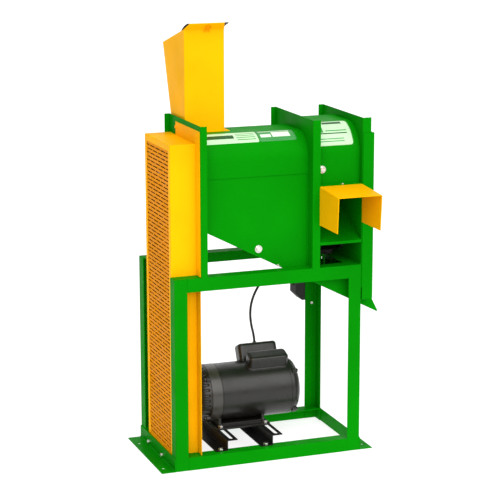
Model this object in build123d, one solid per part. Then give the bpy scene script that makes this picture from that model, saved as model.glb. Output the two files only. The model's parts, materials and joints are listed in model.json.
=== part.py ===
from build123d import *
import math
import os

os.makedirs("parts", exist_ok=True)

# The origin is the middle of the frame's footprint on the floor.
# +X runs along the rotor towards the grain outlet, the operator stands at -Y, +Z is up.

# Frame of equal steel angle
FRAME_LENGTH = 560.0
FRAME_DEPTH = 332.0
FRAME_HEIGHT = 555.0
FRONT_REACH = 155.0
ANGLE = 38.0
ANGLE_WALL = 3.0
ANGLE_ROOT = 4.0
ANGLE_TOE = 1.6
FOOT_REACH = 42.0
ANCHOR_HOLE = 11.0
ANCHOR_OUT = 26.0
ANCHOR_IN = 38.0
HALF_LENGTH = FRAME_LENGTH / 2
FRONT_Y = -FRONT_REACH
REAR_Y = FRAME_DEPTH - FRONT_REACH
RAIL_INNER = FRONT_REACH - ANGLE
REAR_RAIL_INNER = REAR_Y - ANGLE

# Sheet metal thicknesses and the gap left between a sheet and what it clears
SHEET = 2.0
THIN_SHEET = 1.5
FIT_GAP = 0.5
RUNNING_GAP = 0.05
FOLD = 3.0

# Rotor axis, above the frame's top
ROTOR_Y = 0.0
ROTOR_RISE = 270.0
ROTOR_Z = FRAME_HEIGHT + ROTOR_RISE

# Upright bulkheads
LEFT_PLATE_INSET = 79.0
COB_CHAMBER_LENGTH = 150.0
LEFT_PLATE_X = LEFT_PLATE_INSET - HALF_LENGTH
RIGHT_PLATE_X = HALF_LENGTH
MIDDLE_PLATE_X = RIGHT_PLATE_X - COB_CHAMBER_LENGTH
BULKHEAD_TOP = ROTOR_Z + 151.0
LEFT_PLATE_BACK = REAR_RAIL_INNER - 17.0
PLATE_BACK = REAR_RAIL_INNER - 1.0
FOOT_LUG_HEIGHT = 40.0
FOOT_LUG_LAP = 16.0
LEFT_FLANGE = 19.0
MIDDLE_FLANGE = 23.0
RIGHT_FLANGE = 26.0
REAR_FLANGE = 14.0
RIGHT_PLATE_BOTTOM = FRAME_HEIGHT - 68.0

# Motor, on its slide rails
MOTOR_Y = 30.0
MOTOR_RADIUS = 84.0
SLIDE_HEIGHT = 32.0
SLIDE_TOP = ANGLE + SLIDE_HEIGHT
MOTOR_CENTRE_HEIGHT = 93.0
MOTOR_Z = SLIDE_TOP + MOTOR_CENTRE_HEIGHT

# Hoods
LEFT_HOOD_HALF = RAIL_INNER + 1.5
LEFT_HOOD_TOP = ROTOR_Z + 112.0
LEFT_HOOD_RADIUS = 70.0
LEFT_HOOD_FOOT = ROTOR_Z - 3.0
RIGHT_HOOD_HALF = FRONT_REACH - 19.0
RIGHT_HOOD_TOP = ROTOR_Z + 132.0
RIGHT_HOOD_RADIUS = 85.0
RIGHT_HOOD_FOOT = ROTOR_Z - 37.0

# Grain chute
CHUTE_START_Z = FRAME_HEIGHT + 131.0
CHUTE_TIP_X = RIGHT_PLATE_X + 70.0
CHUTE_TIP_Z = FRAME_HEIGHT - 153.8
CHUTE_WALL_TOP = LEFT_HOOD_FOOT + 28.0
CHUTE_LIP = 30.0

# Cob shelf and spout
SHELF_LIP_Z = FRAME_HEIGHT + 72.0
SHELF_SLOPE = 25.0
SPOUT_LENGTH = 134.0
SPOUT_HEIGHT = 110.0
SPOUT_TOP_Z = RIGHT_HOOD_FOOT
SPOUT_DROOP = 3.4
SPOUT_FRONT_CUT = 8.0
SPOUT_TONGUE = 16.0

# Hopper
HOPPER_FRONT_Y = 0.0
HOPPER_LEFT_X = LEFT_PLATE_X + 7.0
HOPPER_WIDTH = 118.0
HOPPER_RISE = 289.0
HOPPER_FRONT_TOP = LEFT_HOOD_TOP + HOPPER_RISE
HOPPER_REAR_TOP = HOPPER_FRONT_TOP - 55.0
HOPPER_MOUTH_DEPTH = 197.0
HOPPER_THROAT_DEPTH = 116.0
HOPPER_FLANGE = 11.0
LIP_RISE = 17.0
LIP_REACH = 24.0
FLAP_THICKNESS = 3.0
FLAP_LENGTH = 54.0
FLAP_OVERHANG = 5.0
FLAP_SETBACK = 7.0
FLAP_SWELL = 3.0

# Belt guard
GUARD_LEFT_X = 3.5 - HALF_LENGTH
GUARD_HALF = RAIL_INNER - FIT_GAP
GUARD_TOP = ROTOR_Z + 99.0
GUARD_BOTTOM = 8.0
GUARD_BORDER = 18.0
MESH_BOTTOM_BORDER = 32.0
MESH_THICKNESS = 1.5
MESH_LAP = 4.0
MESH_LONG_WAY = 60.0
MESH_SHORT_WAY = 20.0
MESH_STRAND = 2.5
BACK_PLATE_TOP = ROTOR_Z + 137.0
BACK_PLATE_FRONT = FRONT_Y + 5.0
BACK_PLATE_STEP = 60.0
MOTOR_SLOT_LENGTH = 70.0
MOTOR_SLOT_WIDTH = 44.0

# Cover over the fan belt
COVER_RIGHT_X = RIGHT_PLATE_X + 35.0
COVER_BOTTOM = FRAME_HEIGHT - 103.0
COVER_TOP = ROTOR_Z + 108.0

# Rotor
SHAFT_DIAMETER = 30.0
DRUM_DIAMETER = 110.0
DRUM_WALL = 5.0
TOOTH_TIP_RADIUS = 86.0
TOOTH_ROOT_RADIUS = 66.0
TOOTH_COUNT = 8
TOOTH_WIDTH = 13.0
BAR_THICKNESS = 9.0
BAR_COUNT = 4
END_CLEARANCE = 6.0
EJECTOR_RADIUS = 84.0
EJECTOR_HUB_RADIUS = 30.0
PADDLE_COUNT = 4
PADDLE_THICKNESS = 5.0
COB_PASSAGE_RADIUS = 95.0

# Shelling grate under the drum
GRATE_RADIUS = TOOTH_TIP_RADIUS + 15.0
GRATE_BAR = 6.0
GRATE_BARS = 17
GRATE_RIB = 10.0
GRATE_RIB_THICKNESS = 4.0

# Bearings
BEARING_PLATE = 90.0
BEARING_PLATE_THICKNESS = 12.0
BEARING_BOSS_RADIUS = 35.0
BEARING_DEPTH = 29.0
BEARING_BOLT_INSET = 14.0
FAN_BEARING_PLATE = 50.0
FAN_BEARING_PLATE_THICKNESS = 8.0
FAN_BEARING_BOSS_RADIUS = 18.0
FAN_BEARING_DEPTH = 16.0

# Main drive: two V-belts
ROTOR_PULLEY_RADIUS = 88.0
MOTOR_PULLEY_RADIUS = 45.0
BELT_WIDTH = 13.0
BELT_HEIGHT = 8.0
BELT_PITCH = 16.0
BELT_COUNT = 2
BELT_SEAT = 7.0
BELT_EDGE = 1.0
PULLEY_EDGE = 2.0
PULLEY_LEFT_X = GUARD_LEFT_X + 6.5
GROOVE_ANGLE = 19.0
GROOVE_GAP = 0.4
GROOVE_DEPTH = BELT_HEIGHT + 4.0
PULLEY_RIM = 6.0
PULLEY_HUB = 10.0
PULLEY_WEB = 10.0
PULLEY_WINDOWS = 5
SMALLEST_WEB = 20.0

# Fan and its single belt
FAN_Z = FRAME_HEIGHT + 45.0
FAN_RADIUS = 43.0
FAN_DISC_SHARE = 0.72
FAN_SHAFT_DIAMETER = 16.0
FAN_HUB_WALL = 5.0
FAN_BLADES = 6
FAN_BLADE_THICKNESS = 2.0
FAN_END_GAP = 6.0
FAN_START_X = MIDDLE_PLATE_X + SHEET + FAN_BEARING_DEPTH + FAN_END_GAP
FAN_END_X = RIGHT_PLATE_X - SHEET - FAN_BEARING_DEPTH - FAN_END_GAP
FAN_DRIVE_RADIUS = 55.0
FAN_PULLEY_RADIUS = 25.0
FAN_PULLEY_X = RIGHT_PLATE_X + 6.0

# Motor
SHELL_LEFT_X = LEFT_PLATE_X + 66.0
SHELL_LENGTH = 254.0
SHELL_RIGHT_X = SHELL_LEFT_X + SHELL_LENGTH
SHELL_WALL = 4.0
LEFT_BELL_DEPTH = 53.0
RIGHT_BELL_DEPTH = 31.0
LEFT_BELL_END = SHELL_LEFT_X - LEFT_BELL_DEPTH
RIGHT_BELL_END = SHELL_RIGHT_X + RIGHT_BELL_DEPTH
BELL_SPIGOT = 6.0
BELL_NOSE_RADIUS = 26.0
MOTOR_SHAFT_DIAMETER = 19.0
MOTOR_CORE_RADIUS = 46.0
MOTOR_CORE_INSET = 40.0
FOOT_PLATE_THICKNESS = 5.0
FOOT_BOLT_SPREAD = 124.0
FOOT_BOLT_EDGE = 14.0
FOOT_PLATE_INSET = 2.0
SADDLE_INSET = 12.0
SADDLE_WALL = 8.0
SADDLE_HEIGHT = 34.0
SADDLE_FLOOR = 12.0
CAPACITOR_LENGTH = 120.0
CAPACITOR_WIDTH = 46.0
CAPACITOR_CORNER = 12.0
CAPACITOR_CROWN = 9.0
CAPACITOR_SINK = 12.0
CAPACITOR_LIP = 4.0
FRONT_CAPACITOR = (SHELL_RIGHT_X - 67.5, 18.0, 34.0)
REAR_CAPACITOR = (SHELL_RIGHT_X - 73.0, -25.0, 48.0)

# Slide rails under the motor
SLIDE_WALL = 3.0
SLIDE_TOP_FLANGE = 32.0
SLIDE_FOOT_FLANGE = 34.0
SLIDE_LEFT_WEBS = (SHELL_LEFT_X + 14.0, SHELL_LEFT_X + 151.0)
SLIDE_END_GAP = 19.0
SLIDE_FRONT_Y = FRONT_Y + SLIDE_END_GAP
SLIDE_REAR_Y = REAR_Y - SLIDE_END_GAP
SLIDE_BOLT_IN = 7.0
SLIDE_SLOT_WIDTH = 12.0
SLIDE_SLOT_LENGTH = 100.0
SLIDE_SLOT_EDGE = 10.0

# Switch box
SWITCH_WIDTH = 66.0
SWITCH_RIGHT_GAP = 2.0
SWITCH_LEFT_X = HALF_LENGTH - SWITCH_RIGHT_GAP - SWITCH_WIDTH
SWITCH_DROP = 180.0
SWITCH_BOTTOM = FRAME_HEIGHT - SWITCH_DROP
SWITCH_HEIGHT = 92.0
SWITCH_DEPTH = 50.0
SWITCH_CHAMFER = 21.0
SWITCH_ROUND = 4.0
KNOB_RADIUS = 17.0
KNOB_DEPTH = 18.0
KNOB_SKIRT = 6.0
KNOB_GRIP = 8.0
KNOB_SPINDLE_RADIUS = 4.0
SPINDLE_DEPTH = 12.0

# Motor cable: its route from the rear capacitor cover to the switch box, as steps in X, Y and Z
CABLE_DIAMETER = 7.0
GLAND_REACH = 20.0
SWITCH_GLAND_REACH = 30.0
GLAND_BASE = 1.3
GLAND_NOSE = 0.75
CABLE_START = (REAR_CAPACITOR[0] + 2.0, MOTOR_Y + 65.6, MOTOR_Z + 121.7)
CABLE_END = (SWITCH_LEFT_X - 18.5, REAR_Y + 13.4, SWITCH_BOTTOM + 69.1)
CABLE_STEPS = [
    (0.3, 6.0, 19.0),
    (-6.3, 3.4, 27.3),
    (-3.5, 2.0, 34.6),
    (5.0, 3.0, 35.0),
    (17.0, 7.0, 34.0),
    (31.0, 16.0, 30.0),
    (35.0, 19.0, 15.0),
    (29.0, 16.0, -5.0),
    (21.0, 12.0, -15.0),
    (17.0, 10.0, -16.0),
]

# Fasteners
BOLT_HEAD_RADIUS = 7.5
BOLT_HEAD_HEIGHT = 5.5
WASHER_RADIUS = 11.0
WASHER_THICKNESS = 1.6
MEDIUM_HEAD_RADIUS = 5.0
MEDIUM_HEAD_HEIGHT = 3.0
SMALL_HEAD_RADIUS = 4.0
SMALL_HEAD_HEIGHT = 2.5
CHUTE_BOLT = (LEFT_PLATE_X + 182.5, CHUTE_START_Z - 71.0)
HOOD_BOLT = (MIDDLE_PLATE_X + 35.0, RIGHT_HOOD_FOOT + 45.0)
SPOUT_BOLT_X = RIGHT_PLATE_X - 58.4
PLATE_BOLTS = ((FRONT_Y + 25.4, BACK_PLATE_TOP - 12.0), (BACK_PLATE_STEP - 6.0, BACK_PLATE_TOP - 15.0))
FOOT_BOLTS_Y = (93.0, -34.0)
FOOT_BOLT_Z = 13.5
LIP_SCREW_X = HOPPER_LEFT_X + 65.0
LIP_SCREW_SPREAD = 12.0
LIP_SCREW_DROP = 8.0
FLANGE_SCREWS_X = (HOPPER_LEFT_X + 44.0, HOPPER_LEFT_X + 122.0)


def block(x0, x1, y0, y1, z0, z1):
    """A rectangular block between two corners."""
    middle = Pos((x0 + x1) / 2, (y0 + y1) / 2, (z0 + z1) / 2)
    return middle * Box(x1 - x0, y1 - y0, z1 - z0)


def outline(plane, points, rounds=()):
    """A flat face from a closed outline on a plane, some of its corners rounded by (index, radius)."""
    face = make_face(Polyline(*points, close=True))
    for index, radius in rounds:
        x, y = points[index]
        corner = [v for v in face.vertices() if abs(v.X - x) + abs(v.Y - y) < 0.001]
        face = fillet(corner, radius)
    return plane * face


def side_prism(points, x0, x1, rounds=()):
    """An outline of (y, z) points carried along X."""
    return extrude(outline(Plane.YZ.offset(x0), points, rounds), x1 - x0, dir=(1, 0, 0))


def front_prism(points, y0, y1, rounds=()):
    """An outline of (x, z) points carried along Y."""
    return extrude(outline(Plane.XZ.offset(-y0), points, rounds), y1 - y0, dir=(0, 1, 0))


def plan_prism(points, z0, z1, rounds=()):
    """An outline of (x, y) points carried up Z."""
    return extrude(outline(Plane.XY.offset(z0), points, rounds), z1 - z0, dir=(0, 0, 1))


def rod_x(radius, x0, x1, y, z):
    """A round bar along X."""
    return Pos((x0 + x1) / 2, y, z) * Rot(0, 90, 0) * Cylinder(radius, x1 - x0)


def rod_y(radius, y0, y1, x, z):
    """A round bar along Y."""
    return Pos(x, (y0 + y1) / 2, z) * Rot(90, 0, 0) * Cylinder(radius, y1 - y0)


def rod_z(radius, z0, z1, x, y):
    """A round bar along Z."""
    return Pos(x, y, (z0 + z1) / 2) * Cylinder(radius, z1 - z0)


def hex_head(radius, height):
    """A hexagon bolt head that stands on the XY plane."""
    return extrude(RegularPolygon(radius, 6), height)


def save(name, shape):
    """Write one piece, or one group of separate solids, to its own file."""
    solids = shape.solids() if not isinstance(shape, list) else shape
    export_step(Compound(label=name, children=list(solids)), f"parts/{name}.step")


def chute_line(x):
    """Height of the underside of the sloping chute floor at a place along X."""
    start, end = LEFT_PLATE_X + SHEET, CHUTE_TIP_X - SHEET
    return CHUTE_START_Z - (x - start) * (CHUTE_START_Z - CHUTE_TIP_Z) / (end - start)


def shelf_line(y):
    """Height of the top of the cob shelf at a place along Y."""
    run = y - FRONT_Y - SHEET
    return SHELF_LIP_Z + run * math.tan(math.radians(SHELF_SLOPE))


def frame_face(side_y):
    """The outer face of the frame at the front or at the rear."""
    return FRONT_Y if side_y < 0 else REAR_Y


# Frame


def leg(side_x, side_y):
    """One upright angle with its corner outwards."""
    cx, cy = side_x * HALF_LENGTH, frame_face(side_y)
    points = [
        (cx, cy),
        (cx - side_x * ANGLE, cy),
        (cx - side_x * ANGLE, cy - side_y * ANGLE_WALL),
        (cx - side_x * ANGLE_WALL, cy - side_y * ANGLE_WALL),
        (cx - side_x * ANGLE_WALL, cy - side_y * ANGLE),
        (cx, cy - side_y * ANGLE),
    ]
    return plan_prism(points, 0, FRAME_HEIGHT, [(3, ANGLE_ROOT), (2, ANGLE_TOE), (4, ANGLE_TOE)])


def long_rail(side_y, top):
    """A rail along X: its upright flange meets the legs' edges, its ledge runs on inside them."""
    upright_end, ledge_end = HALF_LENGTH - ANGLE, HALF_LENGTH - ANGLE_WALL
    outer = frame_face(side_y)
    step, inner = outer - side_y * ANGLE_WALL, outer - side_y * ANGLE
    points = [
        (outer, top),
        (outer, top - ANGLE),
        (step, top - ANGLE),
        (step, top - ANGLE_WALL),
        (inner, top - ANGLE_WALL),
        (inner, top),
    ]
    rail = side_prism(points, -upright_end, upright_end, [(3, ANGLE_ROOT), (2, ANGLE_TOE)])
    ledge_y = sorted((step - side_y * (ANGLE_ROOT - ANGLE_WALL), inner))
    return rail + block(-ledge_end, ledge_end, *ledge_y, top - ANGLE_WALL, top)


def side_rail(side_x):
    """The upper rail along Y between the two long rails."""
    outer, inner = side_x * HALF_LENGTH, side_x * (HALF_LENGTH - ANGLE)
    step = outer - side_x * ANGLE_WALL
    top = FRAME_HEIGHT
    points = [
        (outer, top),
        (outer, top - ANGLE),
        (step, top - ANGLE),
        (step, top - ANGLE_WALL),
        (inner, top - ANGLE_WALL),
        (inner, top),
    ]
    return front_prism(points, -RAIL_INNER, REAR_RAIL_INNER, [(3, ANGLE_ROOT), (2, ANGLE_TOE)])


def foot_angle(side_x):
    """A foot on the outer face of two legs, with its flange on the floor and two anchor holes."""
    face = side_x * HALF_LENGTH
    points = [
        (face, 0),
        (face + side_x * FOOT_REACH, 0),
        (face + side_x * FOOT_REACH, ANGLE_WALL),
        (face + side_x * ANGLE_WALL, ANGLE_WALL),
        (face + side_x * ANGLE_WALL, ANGLE),
        (face, ANGLE),
    ]
    foot = front_prism(points, FRONT_Y, REAR_Y, [(3, ANGLE_ROOT), (2, ANGLE_TOE), (4, ANGLE_TOE)])
    for side_y in (-1, 1):
        hole_y = side_y * (FRONT_REACH - ANCHOR_IN)
        foot -= rod_z(ANCHOR_HOLE / 2, -1, ANGLE, face + side_x * ANCHOR_OUT, hole_y)
    return foot


def build_frame():
    """Legs, rails and feet."""
    for name_y, side_y in (("front", -1), ("rear", 1)):
        for name_x, side_x in (("left", -1), ("right", 1)):
            save(f"{name_y}_{name_x}_leg", leg(side_x, side_y))
        save(f"{name_y}_top_rail", long_rail(side_y, FRAME_HEIGHT))
        save(f"{name_y}_base_rail", long_rail(side_y, ANGLE))
    save("right_top_rail", side_rail(1))
    save("left_foot_angle", foot_angle(-1))
    save("right_foot_angle", foot_angle(1))


# Bulkheads


def bulkhead(x, flange, back, rear_flange, bottom):
    """An upright plate with a front flange folded to the right and a rear one folded to the left."""
    front = FRONT_Y
    points = [
        (x, front),
        (x + flange, front),
        (x + flange, front + SHEET),
        (x + SHEET, front + SHEET),
        (x + SHEET, back),
        (x - rear_flange, back),
        (x - rear_flange, back - SHEET),
        (x, back - SHEET),
    ]
    bends = [(0, FOLD), (3, FOLD - SHEET), (4, FOLD)]
    return plan_prism(points, bottom, BULKHEAD_TOP, bends)


def bulkhead_lug(x, back):
    """The low tongue behind a bulkhead that stands on the rear top rail."""
    return block(x, x + SHEET, back - FOLD, REAR_RAIL_INNER + FOOT_LUG_LAP, FRAME_HEIGHT,
                 FRAME_HEIGHT + FOOT_LUG_HEIGHT)


def shaft_hole(x, y, z, radius):
    """A cutter for a round hole through a bulkhead."""
    return rod_x(radius, x - FOLD, x + FOLD + SHEET, y, z)


def left_bulkhead():
    """The plate at the feed end, standing on both top rails."""
    plate = bulkhead(LEFT_PLATE_X, LEFT_FLANGE, LEFT_PLATE_BACK, REAR_FLANGE, FRAME_HEIGHT)
    plate += bulkhead_lug(LEFT_PLATE_X, LEFT_PLATE_BACK)
    return plate - shaft_hole(LEFT_PLATE_X, ROTOR_Y, ROTOR_Z, SHAFT_DIAMETER / 2 + SHEET)


def middle_bulkhead():
    """The plate between the chambers, with the round passage for the cobs."""
    x = MIDDLE_PLATE_X
    plate = bulkhead(x, MIDDLE_FLANGE, PLATE_BACK, REAR_FLANGE, FRAME_HEIGHT)
    plate += bulkhead_lug(x, PLATE_BACK)
    return plate - shaft_hole(x, ROTOR_Y, ROTOR_Z, COB_PASSAGE_RADIUS)


def right_bulkhead():
    """The plate at the outlet end, hanging down outside the frame."""
    x = RIGHT_PLATE_X
    plate = bulkhead(x, RIGHT_FLANGE, PLATE_BACK, REAR_FLANGE, RIGHT_PLATE_BOTTOM)
    plate -= block(x - REAR_FLANGE - 1, x, PLATE_BACK - 2 * SHEET, PLATE_BACK + 1,
                   RIGHT_PLATE_BOTTOM - 1, FRAME_HEIGHT)
    plate -= shaft_hole(x, ROTOR_Y, ROTOR_Z, SHAFT_DIAMETER / 2 + SHEET)
    return plate - shaft_hole(x, ROTOR_Y, FAN_Z, FAN_SHAFT_DIAMETER / 2 + 1)


def build_bulkheads():
    """The three upright plates."""
    save("left_bulkhead", left_bulkhead())
    save("middle_bulkhead", middle_bulkhead())
    save("right_bulkhead", right_bulkhead())


# Hoods


def hood_face(half, top, radius, front_foot, rear_foot):
    """The filled outline of a round-shouldered hood in the YZ plane."""
    points = [(-half, front_foot), (-half, top), (half, top), (half, rear_foot)]
    face = make_face(Polyline(*points, close=True))
    shoulders = [v for v in face.vertices() if abs(v.Y - top) < 0.001]
    return fillet(shoulders, radius)


def hood_shell(x0, x1, half, top, radius, front_foot, rear_foot):
    """A hood of bent sheet between two bulkheads."""
    outer = hood_face(half, top, radius, front_foot, rear_foot)
    inner = hood_face(half - SHEET, top - SHEET, radius - SHEET, front_foot, rear_foot)
    profile = Plane.YZ.offset(x0) * outer
    hollow = Plane.YZ.offset(x0) * inner
    below = min(front_foot, rear_foot) - 1
    shell = extrude(profile, x1 - x0, dir=(1, 0, 0)) - extrude(hollow, x1 - x0, dir=(1, 0, 0))
    foot = max(front_foot, rear_foot)
    if front_foot != rear_foot:
        tall = block(x0, x1, half - SHEET, half, rear_foot, foot)
        slab = block(x0, x1, -half - 1, half - SHEET, below, foot)
        shell = (shell - slab) + tall
        shell -= block(x0, x1, -half - 1, half + 1, below, rear_foot)
        shell -= block(x0, x1, -half - 1, half - SHEET, below, front_foot)
    return shell


def shelling_hood():
    """The hood over the drum, with the feed opening under the hopper."""
    hood = hood_shell(LEFT_PLATE_X + SHEET, MIDDLE_PLATE_X, LEFT_HOOD_HALF, LEFT_HOOD_TOP,
                      LEFT_HOOD_RADIUS, LEFT_HOOD_FOOT, LEFT_HOOD_FOOT)
    x0 = HOPPER_LEFT_X + SHEET
    x1 = HOPPER_LEFT_X + HOPPER_WIDTH - SHEET
    feed = block(x0, x1, HOPPER_FRONT_Y + SHEET, HOPPER_THROAT_DEPTH - 2 * SHEET,
                 LEFT_HOOD_TOP - LEFT_HOOD_RADIUS + 3 * SHEET, LEFT_HOOD_TOP + SHEET)
    return hood - feed


def cob_hood():
    """The taller hood over the cob ejector, open in front above the shelf."""
    x0, x1 = MIDDLE_PLATE_X + SHEET, RIGHT_PLATE_X
    hood = hood_shell(x0, x1, RIGHT_HOOD_HALF, RIGHT_HOOD_TOP, RIGHT_HOOD_RADIUS,
                      RIGHT_HOOD_FOOT, FRAME_HEIGHT)
    front = FRONT_Y + SHEET
    ledge = block(x0, x1, front, -RIGHT_HOOD_HALF + SHEET, RIGHT_HOOD_FOOT, RIGHT_HOOD_FOOT + SHEET)
    return hood + ledge


def build_hoods():
    """Both hoods."""
    save("shelling_hood", shelling_hood())
    save("cob_hood", cob_hood())


# Grain chute


def grain_chute():
    """Two side walls and the sloping floor, folded from one sheet, that end in the beak."""
    start = LEFT_PLATE_X + SHEET
    under_rail = HALF_LENGTH - ANGLE - FIT_GAP * 2
    below_rail = FRAME_HEIGHT - ANGLE - ANGLE_WALL
    in_cover = COVER_RIGHT_X - SHEET - FIT_GAP * 2
    tip_low = chute_line(CHUTE_TIP_X - SHEET)
    wall = [
        (start, chute_line(start)),
        (start, CHUTE_WALL_TOP),
        (MIDDLE_PLATE_X, CHUTE_WALL_TOP),
        (MIDDLE_PLATE_X, FRAME_HEIGHT - ANGLE_WALL),
        (under_rail, FRAME_HEIGHT - ANGLE_WALL),
        (under_rail, below_rail),
        (RIGHT_PLATE_X - ANGLE_WALL - FIT_GAP, below_rail),
        (RIGHT_PLATE_X - ANGLE_WALL - FIT_GAP, RIGHT_PLATE_BOTTOM - ANGLE_WALL),
        (in_cover, RIGHT_PLATE_BOTTOM - ANGLE_WALL),
        (in_cover, COVER_BOTTOM - SHEET),
        (CHUTE_TIP_X - 2 * SHEET - CHUTE_LIP / 2, COVER_BOTTOM - 5 * SHEET),
        (CHUTE_TIP_X, tip_low + ANGLE_WALL),
        (CHUTE_TIP_X - SHEET, tip_low),
    ]
    outer = LEFT_HOOD_HALF - SHEET
    floor = [
        (start, chute_line(start)),
        (start, chute_line(start) + SHEET),
        (CHUTE_TIP_X - SHEET, tip_low + SHEET),
        (CHUTE_TIP_X - SHEET, tip_low),
    ]
    chute = front_prism(wall, -outer, -outer + SHEET) + front_prism(wall, outer - SHEET, outer)
    return chute + front_prism(floor, -outer + SHEET / 2, outer - SHEET / 2)


def shelling_grate():
    """Square bars along X, set round the underside of the drum on curved ribs."""
    x0, x1 = LEFT_PLATE_X + SHEET, MIDDLE_PLATE_X
    outer_y = LEFT_HOOD_HALF - 2 * SHEET
    inner, outer = GRATE_RADIUS - GRATE_RIB / 2 + 1, GRATE_RADIUS + GRATE_RIB / 2 + 1
    ring = Circle(outer) - Circle(inner)
    ring -= Pos(0, outer / 2 + SHEET) * Rectangle(3 * outer, outer)
    ear_width = outer_y - inner
    for side in (-1, 1):
        ring += Pos(side * (inner + ear_width / 2), SHEET / 2 - GRATE_RIB / 2) * Rectangle(
            ear_width, GRATE_RIB + SHEET)
    grate = None
    step = (x1 - x0) / 4
    for index in (0.5, 2, 3.5):
        place = Plane.YZ.offset(x0 + step * index - GRATE_RIB_THICKNESS / 2)
        rib = extrude(place * (Pos(ROTOR_Y, ROTOR_Z) * ring), GRATE_RIB_THICKNESS, dir=(1, 0, 0))
        grate = rib if grate is None else grate + rib
    for index in range(GRATE_BARS):
        turn = math.radians(180 + 8 + (180 - 16) * index / (GRATE_BARS - 1))
        y, z = GRATE_RADIUS * math.cos(turn), GRATE_RADIUS * math.sin(turn)
        bar = Box(x1 - x0, GRATE_BAR, GRATE_BAR)
        grate += Pos((x0 + x1) / 2, ROTOR_Y + y, ROTOR_Z + z) * Rot(math.degrees(turn), 0, 0) * bar
    return grate


def build_chute():
    """What carries the grain."""
    save("grain_chute", grain_chute())
    save("shelling_grate", shelling_grate())


# Cob shelf and spout


def cob_shelf():
    """The sloping shelf under the ejector, with a turned-down front lip."""
    front = FRONT_Y + SHEET
    back = RIGHT_HOOD_HALF - SHEET
    points = [
        (front, SHELF_LIP_Z),
        (back, shelf_line(back)),
        (back, shelf_line(back) - SHEET),
        (front + SHEET, SHELF_LIP_Z - SHEET),
        (front + SHEET, SHELF_LIP_Z - 4 * SHEET),
        (front, SHELF_LIP_Z - 4 * SHEET),
    ]
    return side_prism(points, MIDDLE_PLATE_X + SHEET, RIGHT_PLATE_X)


def spout_channel(left, right, rise, fold):
    """The channel's filled section, carried forward and down from the machine's front."""
    bottom = SPOUT_TOP_Z - 2 * SPOUT_HEIGHT
    points = [(left, bottom), (left, SPOUT_TOP_Z - rise), (right, SPOUT_TOP_Z - rise), (right, bottom)]
    face = outline(Plane.XZ.offset(FRONT_REACH), points, [(1, fold), (2, fold)])
    fall = math.tan(math.radians(SPOUT_DROOP))
    return extrude(face, SPOUT_LENGTH * math.hypot(1, fall), dir=(0, -1, -fall))


def cob_spout():
    """An inverted channel that turns the cobs down in front of the machine."""
    left, right = MIDDLE_PLATE_X + MIDDLE_FLANGE - SHEET, RIGHT_PLATE_X + SHEET
    front = FRONT_Y - SPOUT_LENGTH
    drop = SPOUT_LENGTH * math.tan(math.radians(SPOUT_DROOP))
    bottom = SPOUT_TOP_Z - SPOUT_HEIGHT
    spout = spout_channel(left, right, 0, FOLD)
    spout -= spout_channel(left + SHEET, right - SHEET, SHEET, FOLD - SHEET)
    spout -= block(left - 1, right + 1, front - 1, FRONT_Y + 1, bottom - 2 * SPOUT_HEIGHT, bottom)
    slant = [
        (front, SPOUT_TOP_Z - drop - SHEET),
        (front + SPOUT_FRONT_CUT, bottom - 1),
        (front - SPOUT_FRONT_CUT, bottom - 1),
        (front - SPOUT_FRONT_CUT, SPOUT_TOP_Z - drop - SHEET),
    ]
    spout -= side_prism(slant, left - 1, right + 1)
    tongue = block(left + 2 * SHEET, RIGHT_PLATE_X - SHEET, FRONT_Y, FRONT_Y + SPOUT_TONGUE,
                   SPOUT_TOP_Z - SHEET, SPOUT_TOP_Z)
    return spout + tongue


def build_spout():
    """The way out for the cobs."""
    save("cob_shelf", cob_shelf())
    save("cob_spout", cob_spout())


# Hopper


def hopper_side(offset, bottom):
    """The (y, z) outline of the hopper's side, drawn in from its outside by an offset."""
    front = HOPPER_FRONT_Y + offset
    slope = (HOPPER_MOUTH_DEPTH - HOPPER_THROAT_DEPTH) / (HOPPER_REAR_TOP - LEFT_HOOD_TOP)
    rear_top = HOPPER_MOUTH_DEPTH - offset
    rear_low = HOPPER_THROAT_DEPTH - offset - slope * (LEFT_HOOD_TOP - bottom)
    return [
        (front, bottom),
        (front, HOPPER_FRONT_TOP),
        (rear_top, HOPPER_REAR_TOP),
        (rear_low, bottom),
    ]


def hopper_wall(offset, bottom):
    """The filled hopper, drawn in by an offset, with its four upright corners folded."""
    x0, x1 = HOPPER_LEFT_X + offset, HOPPER_LEFT_X + HOPPER_WIDTH - offset
    body = side_prism(hopper_side(offset, bottom), x0, x1)
    corners = [e for e in body.edges() if e.bounding_box().size.Z > HOPPER_RISE / 2]
    return fillet(corners, FOLD - offset)


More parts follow.
